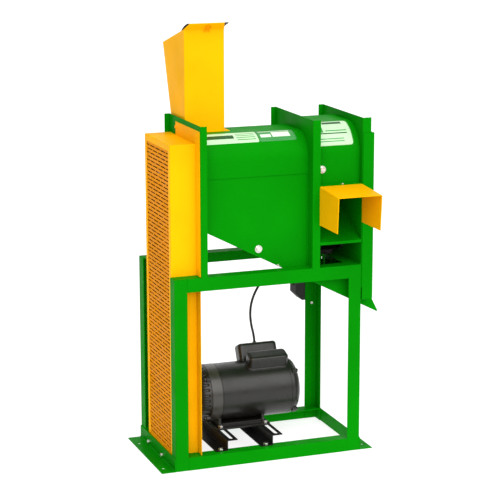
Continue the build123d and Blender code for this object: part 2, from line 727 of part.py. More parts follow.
def hopper_body():
    """Four walls with a slanting mouth, standing on the shelling hood."""
    x0, x1 = HOPPER_LEFT_X, HOPPER_LEFT_X + HOPPER_WIDTH
    bottom = LEFT_HOOD_TOP - LEFT_HOOD_RADIUS
    body = hopper_wall(0, bottom) - hopper_wall(THIN_SHEET, bottom - 1)
    mouth = [
        (HOPPER_FRONT_Y + THIN_SHEET, HOPPER_FRONT_TOP - THIN_SHEET),
        (HOPPER_MOUTH_DEPTH - THIN_SHEET, HOPPER_REAR_TOP - THIN_SHEET),
        (HOPPER_MOUTH_DEPTH - THIN_SHEET, HOPPER_FRONT_TOP + 1),
        (HOPPER_FRONT_Y + THIN_SHEET, HOPPER_FRONT_TOP + 1),
    ]
    body -= side_prism(mouth, x0 + FOLD, x1 - FOLD)
    flange = block(x0, x1 + HOPPER_FLANGE, HOPPER_FRONT_Y - HOPPER_FLANGE, HOPPER_FRONT_Y + THIN_SHEET,
                   LEFT_HOOD_TOP, LEFT_HOOD_TOP + THIN_SHEET)
    flange -= block(x0 + FOLD, x1 - FOLD, HOPPER_FRONT_Y, HOPPER_FRONT_Y + FOLD,
                    LEFT_HOOD_TOP - 1, LEFT_HOOD_TOP + FOLD)
    side = block(x1 - THIN_SHEET, x1 + HOPPER_FLANGE, HOPPER_FRONT_Y - HOPPER_FLANGE,
                 LEFT_HOOD_HALF - LEFT_HOOD_RADIUS, LEFT_HOOD_TOP, LEFT_HOOD_TOP + THIN_SHEET)
    under = extrude(Plane.YZ.offset(x0 - 1) * hood_face(
        LEFT_HOOD_HALF, LEFT_HOOD_TOP, LEFT_HOOD_RADIUS, LEFT_HOOD_FOOT, LEFT_HOOD_FOOT),
        HOPPER_WIDTH + 2 * HOPPER_FLANGE, dir=(1, 0, 0))
    lip = [
        (HOPPER_FRONT_Y + THIN_SHEET, HOPPER_FRONT_TOP - THIN_SHEET),
        (HOPPER_FRONT_Y + THIN_SHEET, HOPPER_FRONT_TOP),
        (HOPPER_FRONT_Y - LIP_REACH, HOPPER_FRONT_TOP + LIP_RISE),
        (HOPPER_FRONT_Y - LIP_REACH - THIN_SHEET, HOPPER_FRONT_TOP + LIP_RISE - THIN_SHEET),
        (HOPPER_FRONT_Y, HOPPER_FRONT_TOP - 2 * THIN_SHEET),
    ]
    return body + flange + side + side_prism(lip, x0, x1) - under


def flap_front():
    """Place in (y, z) of the flap's lower front edge, a little behind the lip's top edge."""
    back = LIP_REACH - FLAP_SETBACK
    return HOPPER_FRONT_Y - back, HOPPER_FRONT_TOP + LIP_RISE * back / LIP_REACH + 3 * FIT_GAP


def hopper_flap():
    """A rubber strip held along the lip, which lies back over the front of the mouth."""
    x0 = HOPPER_LEFT_X - FLAP_OVERHANG
    x1 = HOPPER_LEFT_X + HOPPER_WIDTH + FLAP_OVERHANG
    mouth = (HOPPER_FRONT_TOP - HOPPER_REAR_TOP) / (HOPPER_MOUTH_DEPTH - HOPPER_FRONT_Y)
    rear_y = flap_front()[0] + FLAP_LENGTH
    front_y, front_z = flap_front()
    rear_z = HOPPER_FRONT_TOP - mouth * rear_y + FIT_GAP
    middle_y = (front_y + rear_y) / 2
    middle_z = (front_z + rear_z) / 2 + FLAP_SWELL
    under = ThreePointArc((front_y, front_z), (middle_y, middle_z), (rear_y, rear_z))
    over = ThreePointArc((front_y, front_z + FLAP_THICKNESS),
                         (middle_y, middle_z + FLAP_THICKNESS), (rear_y, rear_z + FLAP_THICKNESS))
    edges = [under, Line(under @ 1, over @ 1), over, Line(over @ 0, under @ 0)]
    return extrude(Plane.YZ.offset(x0) * make_face(edges), x1 - x0, dir=(1, 0, 0))


def build_hopper():
    """The feed hopper and its flap."""
    save("hopper", hopper_body())
    save("hopper_flap", hopper_flap())


# Belt guard


def guard_shell(inset):
    """The guard's filled box, drawn in by an inset, with its outer corners folded."""
    box = block(GUARD_LEFT_X + inset, LEFT_PLATE_X - THIN_SHEET, inset - GUARD_HALF, GUARD_HALF - inset,
                GUARD_BOTTOM + inset, GUARD_TOP - inset)
    outer = box.faces().sort_by(Axis.X)[0]
    return fillet(box.edges().filter_by(Axis.X) + outer.edges(), FOLD - inset)


def guard_box():
    """The folded guard, open towards the bulkhead, with a window in its outer face."""
    t = THIN_SHEET
    reach = GUARD_HALF - GUARD_BORDER
    window = block(GUARD_LEFT_X - 1, GUARD_LEFT_X + 2 * t, -reach, reach,
                   GUARD_BOTTOM + MESH_BOTTOM_BORDER, GUARD_TOP - GUARD_BORDER)
    return guard_shell(0) - guard_shell(t) - window


def guard_mesh():
    """Expanded sheet behind the window: staggered long diamonds between slanting strands."""
    reach = GUARD_HALF - GUARD_BORDER + MESH_LAP
    z0 = GUARD_BOTTOM + MESH_BOTTOM_BORDER - MESH_LAP
    z1 = GUARD_TOP - GUARD_BORDER + MESH_LAP
    centre_z = (z0 + z1) / 2
    sheet = Pos(0, centre_z) * Rectangle(2 * reach, z1 - z0)
    columns = int((2 * reach - MESH_LAP) // MESH_LONG_WAY)
    rows = int((z1 - z0 - MESH_LAP) // MESH_SHORT_WAY)
    half_y, half_z = MESH_LONG_WAY / 2 - MESH_STRAND, MESH_SHORT_WAY / 2 - MESH_STRAND
    diamond = make_face(Polyline((-half_y, 0), (0, half_z), (half_y, 0), (0, -half_z), close=True))
    holes = []
    for row in range(rows):
        z = centre_z + (row - (rows - 1) / 2) * MESH_SHORT_WAY
        count = columns - row % 2
        for column in range(count):
            holes.append(Pos((column - (count - 1) / 2) * MESH_LONG_WAY, z) * diamond)
    sheet = sheet - holes
    return extrude(Plane.YZ.offset(GUARD_LEFT_X + THIN_SHEET) * sheet, MESH_THICKNESS, dir=(1, 0, 0))


def guard_back_plate():
    """The plate between the guard and the bulkhead, notched round the front rails."""
    x1 = LEFT_PLATE_X
    x0 = x1 - THIN_SHEET
    over_rail = ANGLE + 2 * FIT_GAP
    points = [
        (BACK_PLATE_FRONT, over_rail),
        (BACK_PLATE_FRONT, BACK_PLATE_TOP),
        (BACK_PLATE_STEP, BACK_PLATE_TOP),
        (BACK_PLATE_STEP, GUARD_TOP),
        (GUARD_HALF, GUARD_TOP),
        (GUARD_HALF, GUARD_BOTTOM),
        (-GUARD_HALF, GUARD_BOTTOM),
        (-GUARD_HALF, over_rail),
    ]
    plate = side_prism(points, x0, x1)
    plate -= block(x0 - 1, x1 + 1, BACK_PLATE_FRONT - 1, -GUARD_HALF,
                   FRAME_HEIGHT - ANGLE_WALL - FIT_GAP, FRAME_HEIGHT + FIT_GAP)
    plate -= rod_x(SHAFT_DIAMETER / 2 + SHEET, x0 - 1, x1 + 1, ROTOR_Y, ROTOR_Z)
    slot = Pos(MOTOR_Y, MOTOR_Z) * SlotOverall(MOTOR_SLOT_LENGTH, MOTOR_SLOT_WIDTH)
    return plate - extrude(Plane.YZ.offset(x0 - 1) * slot, 2 * THIN_SHEET + 1, dir=(1, 0, 0))


def build_guard():
    """The guard round the main belts."""
    save("belt_guard_box", guard_box())
    save("belt_guard_mesh", guard_mesh())
    save("belt_guard_back_plate", guard_back_plate())


# Cover over the fan belt


def fan_belt_cover():
    """A shallow pan whose rim laps over the front flange of the right bulkhead."""
    left, right = RIGHT_PLATE_X + SHEET, COVER_RIGHT_X
    front, back = FRONT_Y - SHEET, PLATE_BACK - SHEET
    pan = block(left, right, front, back, COVER_BOTTOM, COVER_TOP)
    pan -= block(left - 1, right - SHEET, front + SHEET, back - SHEET,
                 COVER_BOTTOM + SHEET, COVER_TOP - SHEET)
    flange_end = RIGHT_PLATE_X + RIGHT_FLANGE + FIT_GAP
    pan -= block(left - 1, flange_end, FRONT_Y, FRONT_Y + SHEET + FIT_GAP,
                 RIGHT_PLATE_BOTTOM - 1, COVER_TOP + 1)
    grain = LEFT_HOOD_HALF
    return pan - block(left - 1, right - SHEET, -grain, grain, COVER_BOTTOM - 1, COVER_BOTTOM + 2 * SHEET)


# Bearings


def flange_bearing(x, side, z, width, thickness, boss, depth, shaft):
    """A square flanged bearing on a plate face at x, with its boss towards side."""
    face = Pos(x + side * thickness / 2, ROTOR_Y, z) * Rot(0, 90, 0)
    body = Box(width, width, thickness)
    body = fillet(body.edges().filter_by(Axis.Z), width / 6)
    housing = face * body
    ends = sorted((x + side * thickness / 2, x + side * depth))
    housing += rod_x(boss, ends[0], ends[1], ROTOR_Y, z)
    ends = sorted((x - side, x + side * (depth + 1)))
    return housing - rod_x(shaft / 2 + RUNNING_GAP, ends[0], ends[1], ROTOR_Y, z)


def build_bearings():
    """Flanged bearings for the rotor and for the fan."""
    rotor = (BEARING_PLATE, BEARING_PLATE_THICKNESS, BEARING_BOSS_RADIUS, BEARING_DEPTH, SHAFT_DIAMETER)
    save("left_rotor_bearing", flange_bearing(LEFT_PLATE_X - THIN_SHEET, -1, ROTOR_Z, *rotor))
    save("right_rotor_bearing", flange_bearing(RIGHT_PLATE_X, -1, ROTOR_Z, *rotor))
    fan = (FAN_BEARING_PLATE, FAN_BEARING_PLATE_THICKNESS, FAN_BEARING_BOSS_RADIUS,
           FAN_BEARING_DEPTH, FAN_SHAFT_DIAMETER)
    left = flange_bearing(MIDDLE_PLATE_X + SHEET, 1, FAN_Z, *fan)
    right = flange_bearing(RIGHT_PLATE_X, -1, FAN_Z, *fan)
    save("fan_bearings", [left.solid(), right.solid()])


# Rotor


def rotor_shaft():
    """The through shaft, from the main pulley to the fan drive pulley."""
    end = COVER_RIGHT_X - SHEET - 3 * SHEET
    shaft = rod_x(SHAFT_DIAMETER / 2, PULLEY_LEFT_X - SHEET, end, ROTOR_Y, ROTOR_Z)
    return chamfer(shaft.edges().filter_by(GeomType.CIRCLE), 1)


def toothed_bar(x0, x1, shift):
    """A bar along X with blunt teeth, in the plane y = 0, measured from the rotor axis."""
    pitch = (x1 - x0) / TOOTH_COUNT
    points = [(x0, DRUM_DIAMETER / 2 - 2), (x0, TOOTH_ROOT_RADIUS)]
    for index in range(TOOTH_COUNT):
        middle = x0 + pitch * (index + 0.5) + shift * pitch / 8
        points += [
            (middle - TOOTH_WIDTH, TOOTH_ROOT_RADIUS),
            (middle - TOOTH_WIDTH / 2, TOOTH_TIP_RADIUS),
            (middle + TOOTH_WIDTH / 2, TOOTH_TIP_RADIUS),
            (middle + TOOTH_WIDTH * 0.7, TOOTH_ROOT_RADIUS),
        ]
    points += [(x1, TOOTH_ROOT_RADIUS), (x1, DRUM_DIAMETER / 2 - 2)]
    return front_prism(points, -BAR_THICKNESS / 2, BAR_THICKNESS / 2)


def shelling_drum():
    """A closed drum on the shaft with toothed bars along it."""
    x0 = LEFT_PLATE_X + SHEET + END_CLEARANCE
    x1 = MIDDLE_PLATE_X - END_CLEARANCE
    radius = DRUM_DIAMETER / 2
    drum = rod_x(radius, x0, x1, 0, 0)
    drum -= rod_x(radius - DRUM_WALL, x0 + 2 * DRUM_WALL, x1 - 2 * DRUM_WALL, 0, 0)
    for index in range(BAR_COUNT):
        shift = 1 if index % 2 else -1
        drum += Rot(360 * index / BAR_COUNT, 0, 0) * toothed_bar(x0, x1, shift)
    drum -= rod_x(SHAFT_DIAMETER / 2, x0 - 1, x1 + 1, 0, 0)
    return Pos(0, ROTOR_Y, ROTOR_Z) * drum


def cob_ejector():
    """A hub with flat paddles that throws the bare cobs out over the shelf."""
    x0 = MIDDLE_PLATE_X + SHEET + END_CLEARANCE
    x1 = RIGHT_PLATE_X - BEARING_DEPTH - END_CLEARANCE
    hub = rod_x(EJECTOR_HUB_RADIUS, x0, x1, 0, 0)
    for index in range(PADDLE_COUNT):
        paddle = block(x0, x1, -PADDLE_THICKNESS / 2, PADDLE_THICKNESS / 2,
                       EJECTOR_HUB_RADIUS - 2, EJECTOR_RADIUS)
        hub += Rot(360 * index / PADDLE_COUNT, 0, 0) * paddle
    hub -= rod_x(SHAFT_DIAMETER / 2, x0 - 1, x1 + 1, 0, 0)
    return Pos(0, ROTOR_Y, ROTOR_Z) * hub


def vee_pulley(x0, radius, grooves, shaft, y, z):
    """A cast pulley with V grooves, an open web when it is large, and a bore for its shaft."""
    width = BELT_PITCH * grooves + 2 * PULLEY_EDGE
    half_top = BELT_WIDTH / 2 + GROOVE_GAP
    depth = GROOVE_DEPTH
    half_bottom = half_top - depth * math.tan(math.radians(GROOVE_ANGLE))
    points = [(0, 0), (0, radius)]
    for index in range(grooves):
        middle = PULLEY_EDGE + BELT_PITCH * (index + 0.5)
        points += [(middle - half_top, radius), (middle - half_bottom, radius - depth),
                   (middle + half_bottom, radius - depth), (middle + half_top, radius)]
    points += [(width, radius), (width, 0)]
    profile = make_face(Polyline(*points, close=True))
    pulley = revolve(profile, Axis.X, 360)
    rim, hub = radius - depth - PULLEY_RIM, shaft / 2 + PULLEY_HUB
    if rim - hub > SMALLEST_WEB:
        for start, end in ((-1, (width - PULLEY_WEB) / 2), ((width + PULLEY_WEB) / 2, width + 1)):
            pulley -= rod_x(rim, start, end, 0, 0) - rod_x(hub, start, end, 0, 0)
        for index in range(PULLEY_WINDOWS):
            turn = math.radians(360 * (index + 0.5) / PULLEY_WINDOWS)
            middle = (rim + hub) / 2
            pulley -= rod_x((rim - hub) / 2 - 4, 0, width, middle * math.cos(turn),
                            middle * math.sin(turn))
    pulley -= rod_x(shaft / 2, -1, width + 1, 0, 0)
    return Pos(x0, y, z) * pulley


def build_rotor():
    """Everything that turns on the rotor shaft."""
    save("rotor_shaft", rotor_shaft())
    save("shelling_drum", shelling_drum())
    save("cob_ejector", cob_ejector())
    save("rotor_pulley", vee_pulley(PULLEY_LEFT_X, ROTOR_PULLEY_RADIUS, BELT_COUNT,
                                    SHAFT_DIAMETER, ROTOR_Y, ROTOR_Z))
    save("fan_drive_pulley", vee_pulley(FAN_PULLEY_X, FAN_DRIVE_RADIUS, 1,
                                        SHAFT_DIAMETER, ROTOR_Y, ROTOR_Z))


# Belts


def vee_belt(x_middle, low, low_radius, high, high_radius):
    """A V-belt round two pulleys whose axes run along X, its flanks cut to the groove angle."""
    def loop(x, shrink):
        """The filled outline of the belt's run at a place along X, drawn in by an amount."""
        rounds = [Pos(y, z) * Circle(radius - shrink).edge()
                  for (y, z), radius in ((low, low_radius), (high, high_radius))]
        return Plane.YZ.offset(x) * make_hull(rounds)

    half = BELT_WIDTH / 2
    foot = half - (BELT_HEIGHT - BELT_EDGE) * math.tan(math.radians(GROOVE_ANGLE))
    body = extrude(loop(x_middle - half, 0), BELT_WIDTH, dir=(1, 0, 0))
    body -= extrude(loop(x_middle - foot, BELT_HEIGHT), 2 * foot, dir=(1, 0, 0))
    for side in (-1, 1):
        narrow = loop(x_middle + side * foot, BELT_HEIGHT)
        wide = loop(x_middle + side * half, BELT_EDGE)
        body -= loft([narrow, wide], ruled=True)
    return body


def build_belts():
    """Two main belts and the fan belt."""
    low, high = (MOTOR_Y, MOTOR_Z), (ROTOR_Y, ROTOR_Z)
    seat = BELT_HEIGHT - BELT_SEAT
    mains = []
    for index in range(BELT_COUNT):
        x = PULLEY_LEFT_X + PULLEY_EDGE + BELT_PITCH * (index + 0.5)
        mains.append(vee_belt(x, low, MOTOR_PULLEY_RADIUS + seat, high,
                              ROTOR_PULLEY_RADIUS + seat).solid())
    save("main_belts", mains)
    x = FAN_PULLEY_X + PULLEY_EDGE + BELT_PITCH / 2
    save("fan_belt", vee_belt(x, (ROTOR_Y, FAN_Z), FAN_PULLEY_RADIUS + seat,
                              (ROTOR_Y, ROTOR_Z), FAN_DRIVE_RADIUS + seat))


# Fan


def build_fan():
    """Shaft, bladed wheel and pulley of the fan."""
    shaft = rod_x(FAN_SHAFT_DIAMETER / 2, MIDDLE_PLATE_X + SHEET + 1, FAN_PULLEY_X + BELT_PITCH + 6,
                  ROTOR_Y, FAN_Z)
    save("fan_shaft", chamfer(shaft.edges().filter_by(GeomType.CIRCLE), 0.8))
    hub_radius = FAN_SHAFT_DIAMETER / 2 + FAN_HUB_WALL
    wheel = rod_x(hub_radius, FAN_START_X, FAN_END_X, 0, 0)
    for x in (FAN_START_X, (FAN_START_X + FAN_END_X) / 2, FAN_END_X - SHEET):
        wheel += rod_x(FAN_RADIUS * FAN_DISC_SHARE, x, x + SHEET, 0, 0)
    for index in range(FAN_BLADES):
        blade = block(FAN_START_X, FAN_END_X, -FAN_BLADE_THICKNESS / 2, FAN_BLADE_THICKNESS / 2,
                      hub_radius - 1, FAN_RADIUS)
        wheel += Rot(360 * index / FAN_BLADES, 0, 0) * blade
    wheel -= rod_x(FAN_SHAFT_DIAMETER / 2, FAN_START_X - 1, FAN_END_X + 1, 0, 0)
    save("fan_wheel", Pos(0, ROTOR_Y, FAN_Z) * wheel)
    save("fan_pulley", vee_pulley(FAN_PULLEY_X, FAN_PULLEY_RADIUS, 1, FAN_SHAFT_DIAMETER,
                                  ROTOR_Y, FAN_Z))


# Motor


def turned(points):
    """A solid turned about X from an outline of (x, radius) points, set on the motor axis."""
    profile = make_face(Polyline(*points, close=True))
    return Pos(0, MOTOR_Y, MOTOR_Z) * revolve(profile, Axis.X, 360)


def motor_shell():
    """The rolled steel shell."""
    inner = MOTOR_RADIUS - SHELL_WALL
    return turned([(SHELL_LEFT_X, inner), (SHELL_LEFT_X, MOTOR_RADIUS),
                   (SHELL_RIGHT_X, MOTOR_RADIUS), (SHELL_RIGHT_X, inner)])


def end_bell(rim_x, end_x, bore):
    """A domed end bell with a stepped nose and a spigot into the shell."""
    side = 1 if end_x > rim_x else -1
    depth = abs(end_x - rim_x)
    radius = MOTOR_RADIUS - 1
    spigot = MOTOR_RADIUS - SHELL_WALL - FIT_GAP
    start = rim_x - side * BELL_SPIGOT
    points = [(start, bore), (start, spigot), (rim_x, spigot), (rim_x, radius)]
    crown = 0.8 * depth
    for step in range(1, 9):
        turn = math.radians(9 * step)
        points.append((rim_x + side * crown * math.sin(turn),
                       radius * (0.55 + 0.45 * math.cos(turn) ** 0.75)))
    nose = rim_x + side * 0.84 * depth
    points += [(nose, BELL_NOSE_RADIUS + 1), (end_x - side, BELL_NOSE_RADIUS), (end_x, BELL_NOSE_RADIUS - 1),
               (end_x, bore)]
    return turned(points)


def motor_foot():
    """A pressed foot: a flat plate on the slide rails with a saddle under the shell."""
    left = SLIDE_LEFT_WEBS[0] + FOOT_PLATE_INSET
    right = SLIDE_LEFT_WEBS[1] + SLIDE_TOP_FLANGE - FOOT_PLATE_INSET
    half = FOOT_BOLT_SPREAD / 2 + FOOT_BOLT_EDGE
    base = block(left, right, MOTOR_Y - half, MOTOR_Y + half, SLIDE_TOP, SLIDE_TOP + FOOT_PLATE_THICKNESS)
    base = fillet(base.edges().filter_by(Axis.Z), FOOT_BOLT_EDGE / 2)
    reach = half - FOOT_BOLT_EDGE - SADDLE_WALL
    saddle = block(left + SADDLE_INSET, right - SADDLE_INSET, MOTOR_Y - reach, MOTOR_Y + reach,
                   SLIDE_TOP, SLIDE_TOP + SADDLE_HEIGHT)
    wall = SADDLE_INSET + SADDLE_WALL
    saddle -= block(left + wall, right - wall, MOTOR_Y - half, MOTOR_Y + half,
                    SLIDE_TOP + SADDLE_FLOOR, SLIDE_TOP + 2 * SADDLE_HEIGHT)
    return base + saddle - rod_x(MOTOR_RADIUS, left - 1, right + 1, MOTOR_Y, MOTOR_Z)


def capacitor_cover(x_middle, angle, height):
    """A domed cover on the shell, its middle turned from the top by an angle about the axis."""
    length, width, sink = CAPACITOR_LENGTH, CAPACITOR_WIDTH, CAPACITOR_SINK
    body = Pos(0, 0, (height - sink) / 2) * Box(length, width, height + sink)
    body = fillet(body.edges().filter_by(Axis.Z), CAPACITOR_CORNER)
    top = body.faces().sort_by(Axis.Z)[-1]
    body = fillet(top.edges(), CAPACITOR_CROWN)
    flange = Pos(0, 0, 1 - sink / 2) * Box(length + 2 * CAPACITOR_LIP, width + 2 * CAPACITOR_LIP, sink)
    flange = fillet(flange.edges().filter_by(Axis.Z), CAPACITOR_CORNER)
    cover = Pos(0, 0, MOTOR_RADIUS) * (body + flange)
    cover = Pos(x_middle, MOTOR_Y, MOTOR_Z) * Rot(angle, 0, 0) * cover
    return cover - rod_x(MOTOR_RADIUS, SHELL_LEFT_X, SHELL_RIGHT_X, MOTOR_Y, MOTOR_Z)


def build_motor():
    """The motor and its shaft."""
    bore = MOTOR_SHAFT_DIAMETER / 2 + RUNNING_GAP
    save("motor_shell", motor_shell())
    save("motor_drive_bell", end_bell(SHELL_LEFT_X, LEFT_BELL_END, bore))
    save("motor_rear_bell", end_bell(SHELL_RIGHT_X, RIGHT_BELL_END, bore))
    save("motor_foot", motor_foot())
    save("front_capacitor_cover", capacitor_cover(*FRONT_CAPACITOR))
    save("rear_capacitor_cover", capacitor_cover(*REAR_CAPACITOR))
    shaft = rod_x(MOTOR_SHAFT_DIAMETER / 2, PULLEY_LEFT_X - SHEET, RIGHT_BELL_END - 3, MOTOR_Y, MOTOR_Z)
    shaft = chamfer(shaft.edges().filter_by(GeomType.CIRCLE), 0.8)
    core = rod_x(MOTOR_CORE_RADIUS, SHELL_LEFT_X + MOTOR_CORE_INSET, SHELL_RIGHT_X - MOTOR_CORE_INSET,
                 MOTOR_Y, MOTOR_Z)
    save("motor_shaft", shaft + core)
    save("motor_pulley", vee_pulley(PULLEY_LEFT_X, MOTOR_PULLEY_RADIUS, BELT_COUNT,
                                    MOTOR_SHAFT_DIAMETER, MOTOR_Y, MOTOR_Z))


# Slide rails


def slide_rail(web_x):
    """A Z-section rail along Y: foot flange to the left, slotted top flange to the right."""
    bottom = ANGLE
    points = [
        (web_x - SLIDE_FOOT_FLANGE, bottom),
        (web_x + SLIDE_WALL, bottom),
        (web_x + SLIDE_WALL, SLIDE_TOP - SLIDE_WALL),
        (web_x + SLIDE_TOP_FLANGE, SLIDE_TOP - SLIDE_WALL),
        (web_x + SLIDE_TOP_FLANGE, SLIDE_TOP),
        (web_x, SLIDE_TOP),
        (web_x, bottom + SLIDE_WALL),
        (web_x - SLIDE_FOOT_FLANGE, bottom + SLIDE_WALL),
    ]
    bends = [(1, SLIDE_WALL), (2, SLIDE_WALL / 2), (5, SLIDE_WALL), (6, SLIDE_WALL / 2)]
    rail = front_prism(points, SLIDE_FRONT_Y, SLIDE_REAR_Y, bends)
    middle = web_x + (SLIDE_TOP_FLANGE + SLIDE_WALL) / 2
    for place in (SLIDE_FRONT_Y + SLIDE_SLOT_EDGE + SLIDE_SLOT_LENGTH / 2,
                  SLIDE_REAR_Y - SLIDE_SLOT_EDGE - SLIDE_SLOT_LENGTH / 2):
        slot = Plane.XY.offset(SLIDE_TOP - 2 * SLIDE_WALL) * (
            Pos(middle, place) * Rot(0, 0, 90) * SlotOverall(SLIDE_SLOT_LENGTH, SLIDE_SLOT_WIDTH))
        rail -= extrude(slot, 3 * SLIDE_WALL, dir=(0, 0, 1))
    return rail


def build_slides():
    """Both slide rails."""
    save("left_slide_rail", slide_rail(SLIDE_LEFT_WEBS[0]))
    save("right_slide_rail", slide_rail(SLIDE_LEFT_WEBS[1]))


# Switch box and cable


def switch_box():
    """The black switch box on the rear right leg, with a chamfered lower corner."""
    x0, x1 = SWITCH_LEFT_X, SWITCH_LEFT_X + SWITCH_WIDTH
    z0, z1 = SWITCH_BOTTOM, SWITCH_BOTTOM + SWITCH_HEIGHT
    c = SWITCH_CHAMFER
    points = [(x0 + c, z0), (x1, z0), (x1, z1), (x0, z1), (x0, z0 + c)]
    box = front_prism(points, REAR_Y, REAR_Y + SWITCH_DEPTH)
    rear = box.faces().sort_by(Axis.Y)[-1]
    box = fillet(rear.edges(), SWITCH_ROUND)
    face = REAR_Y + SWITCH_DEPTH
    return box - rod_y(KNOB_SPINDLE_RADIUS + RUNNING_GAP, face - SPINDLE_DEPTH, face + 1,
                       (x0 + x1) / 2, (z0 + z1) / 2)


def switch_knob():
    """A pointer knob on a spindle."""
    x, z = SWITCH_LEFT_X + SWITCH_WIDTH / 2, SWITCH_BOTTOM + SWITCH_HEIGHT / 2
    face, reach = REAR_Y + SWITCH_DEPTH, KNOB_RADIUS - 1
    knob = rod_y(KNOB_RADIUS, face + FIT_GAP, face + KNOB_SKIRT, x, z)
    grip = block(x - KNOB_GRIP / 2, x + KNOB_GRIP / 2, face + KNOB_SKIRT - 1, face + KNOB_DEPTH,
                 z - reach, z + reach)
    grip = fillet(grip.edges().filter_by(Axis.Y), 0.4 * KNOB_GRIP)
    return knob + grip + rod_y(KNOB_SPINDLE_RADIUS, face - SPINDLE_DEPTH + 1, face + 2, x, z)


def cable_route():
    """The cable's corner points: every step takes an equal share of what is left to the switch box."""
    steps = [Vector(*step) for step in CABLE_STEPS]
    left_over = Vector(*CABLE_END) - Vector(*CABLE_START) - sum(steps, Vector(0, 0, 0))
    points = [Vector(*CABLE_START)]
    for step in steps:
        points.append(points[-1] + step + left_over / len(steps))
    return points


def cable_radii(points):
    """A bend radius for each inner point of a route, as large as its runs allow."""
    radii = []
    for a, b, c in zip(points, points[1:], points[2:]):
        turn = (b - a).get_angle(c - b)
        shorter = min((b - a).length, (c - b).length)
        radii.append(0.45 * shorter / math.tan(math.radians(turn / 2)))
    return radii


def motor_cable():
    """A round cable of straight runs joined by tangent arcs."""
    points = cable_route()
    radii = cable_radii(points)
    path = FilletPolyline(*points, radius=radii)
    start = Plane(origin=points[0], z_dir=path % 0)
    tube = sweep(start * Circle(CABLE_DIAMETER / 2), path)
    plain = math.pi * CABLE_DIAMETER ** 2 / 4 * path.length
    print("cable route", [tuple(round(c, 1) for c in p) for p in points])
    print("cable runs", [round((b - a).length, 1) for a, b in zip(points, points[1:])])
    print("cable radii", [round(r, 1) for r in radii])
    print("cable length", round(path.length, 1), "volume ratio", round(tube.volume / plain, 4))
    return tube


def gland(end, towards, length):
    """A tapered gland round the end of the cable, from a wall to the cable's end face."""
    direction = (towards - end).normalized()
    wide = Plane(origin=end - direction * length, z_dir=direction) * Circle(CABLE_DIAMETER * GLAND_BASE)
    narrow = Plane(origin=end, z_dir=direction) * Circle(CABLE_DIAMETER * GLAND_NOSE)
    return loft([wide.face(), narrow.face()])


def build_cable():
    """The switch, the cable and its two glands."""
    points = cable_route()
    save("switch_box", switch_box())
    save("switch_knob", switch_knob())
    save("motor_cable", motor_cable())
    motor_gland = gland(points[0], points[1], GLAND_REACH)
    save("motor_cable_gland", motor_gland - capacitor_cover(*REAR_CAPACITOR))
    box_gland = gland(points[-1], points[-2], SWITCH_GLAND_REACH)
    box_gland -= block(SWITCH_LEFT_X, SWITCH_LEFT_X + SWITCH_WIDTH, REAR_Y, REAR_Y + SWITCH_DEPTH,
                       SWITCH_BOTTOM, SWITCH_BOTTOM + SWITCH_HEIGHT)
    save("switch_cable_gland", box_gland)


# Fasteners


def bolt_on_front(x, y, z, radius, height, washer=0.0):
    """A bolt head on a face that looks towards the front."""
    head = Pos(x, y - washer, z) * Rot(90, 0, 0) * hex_head(radius, height)
    if washer:
        head += rod_y(WASHER_RADIUS, y - washer, y, x, z)
    return head.solid()


def bolt_on_top(x, y, z, radius, height):
    """A bolt head on a face that looks up."""
    return (Pos(x, y, z) * hex_head(radius, height)).solid()


def bolt_on_left(x, y, z, radius, height):
    """A bolt head on a face that looks to the left."""
    return (Pos(x, y, z) * Rot(0, -90, 0) * hex_head(radius, height)).solid()


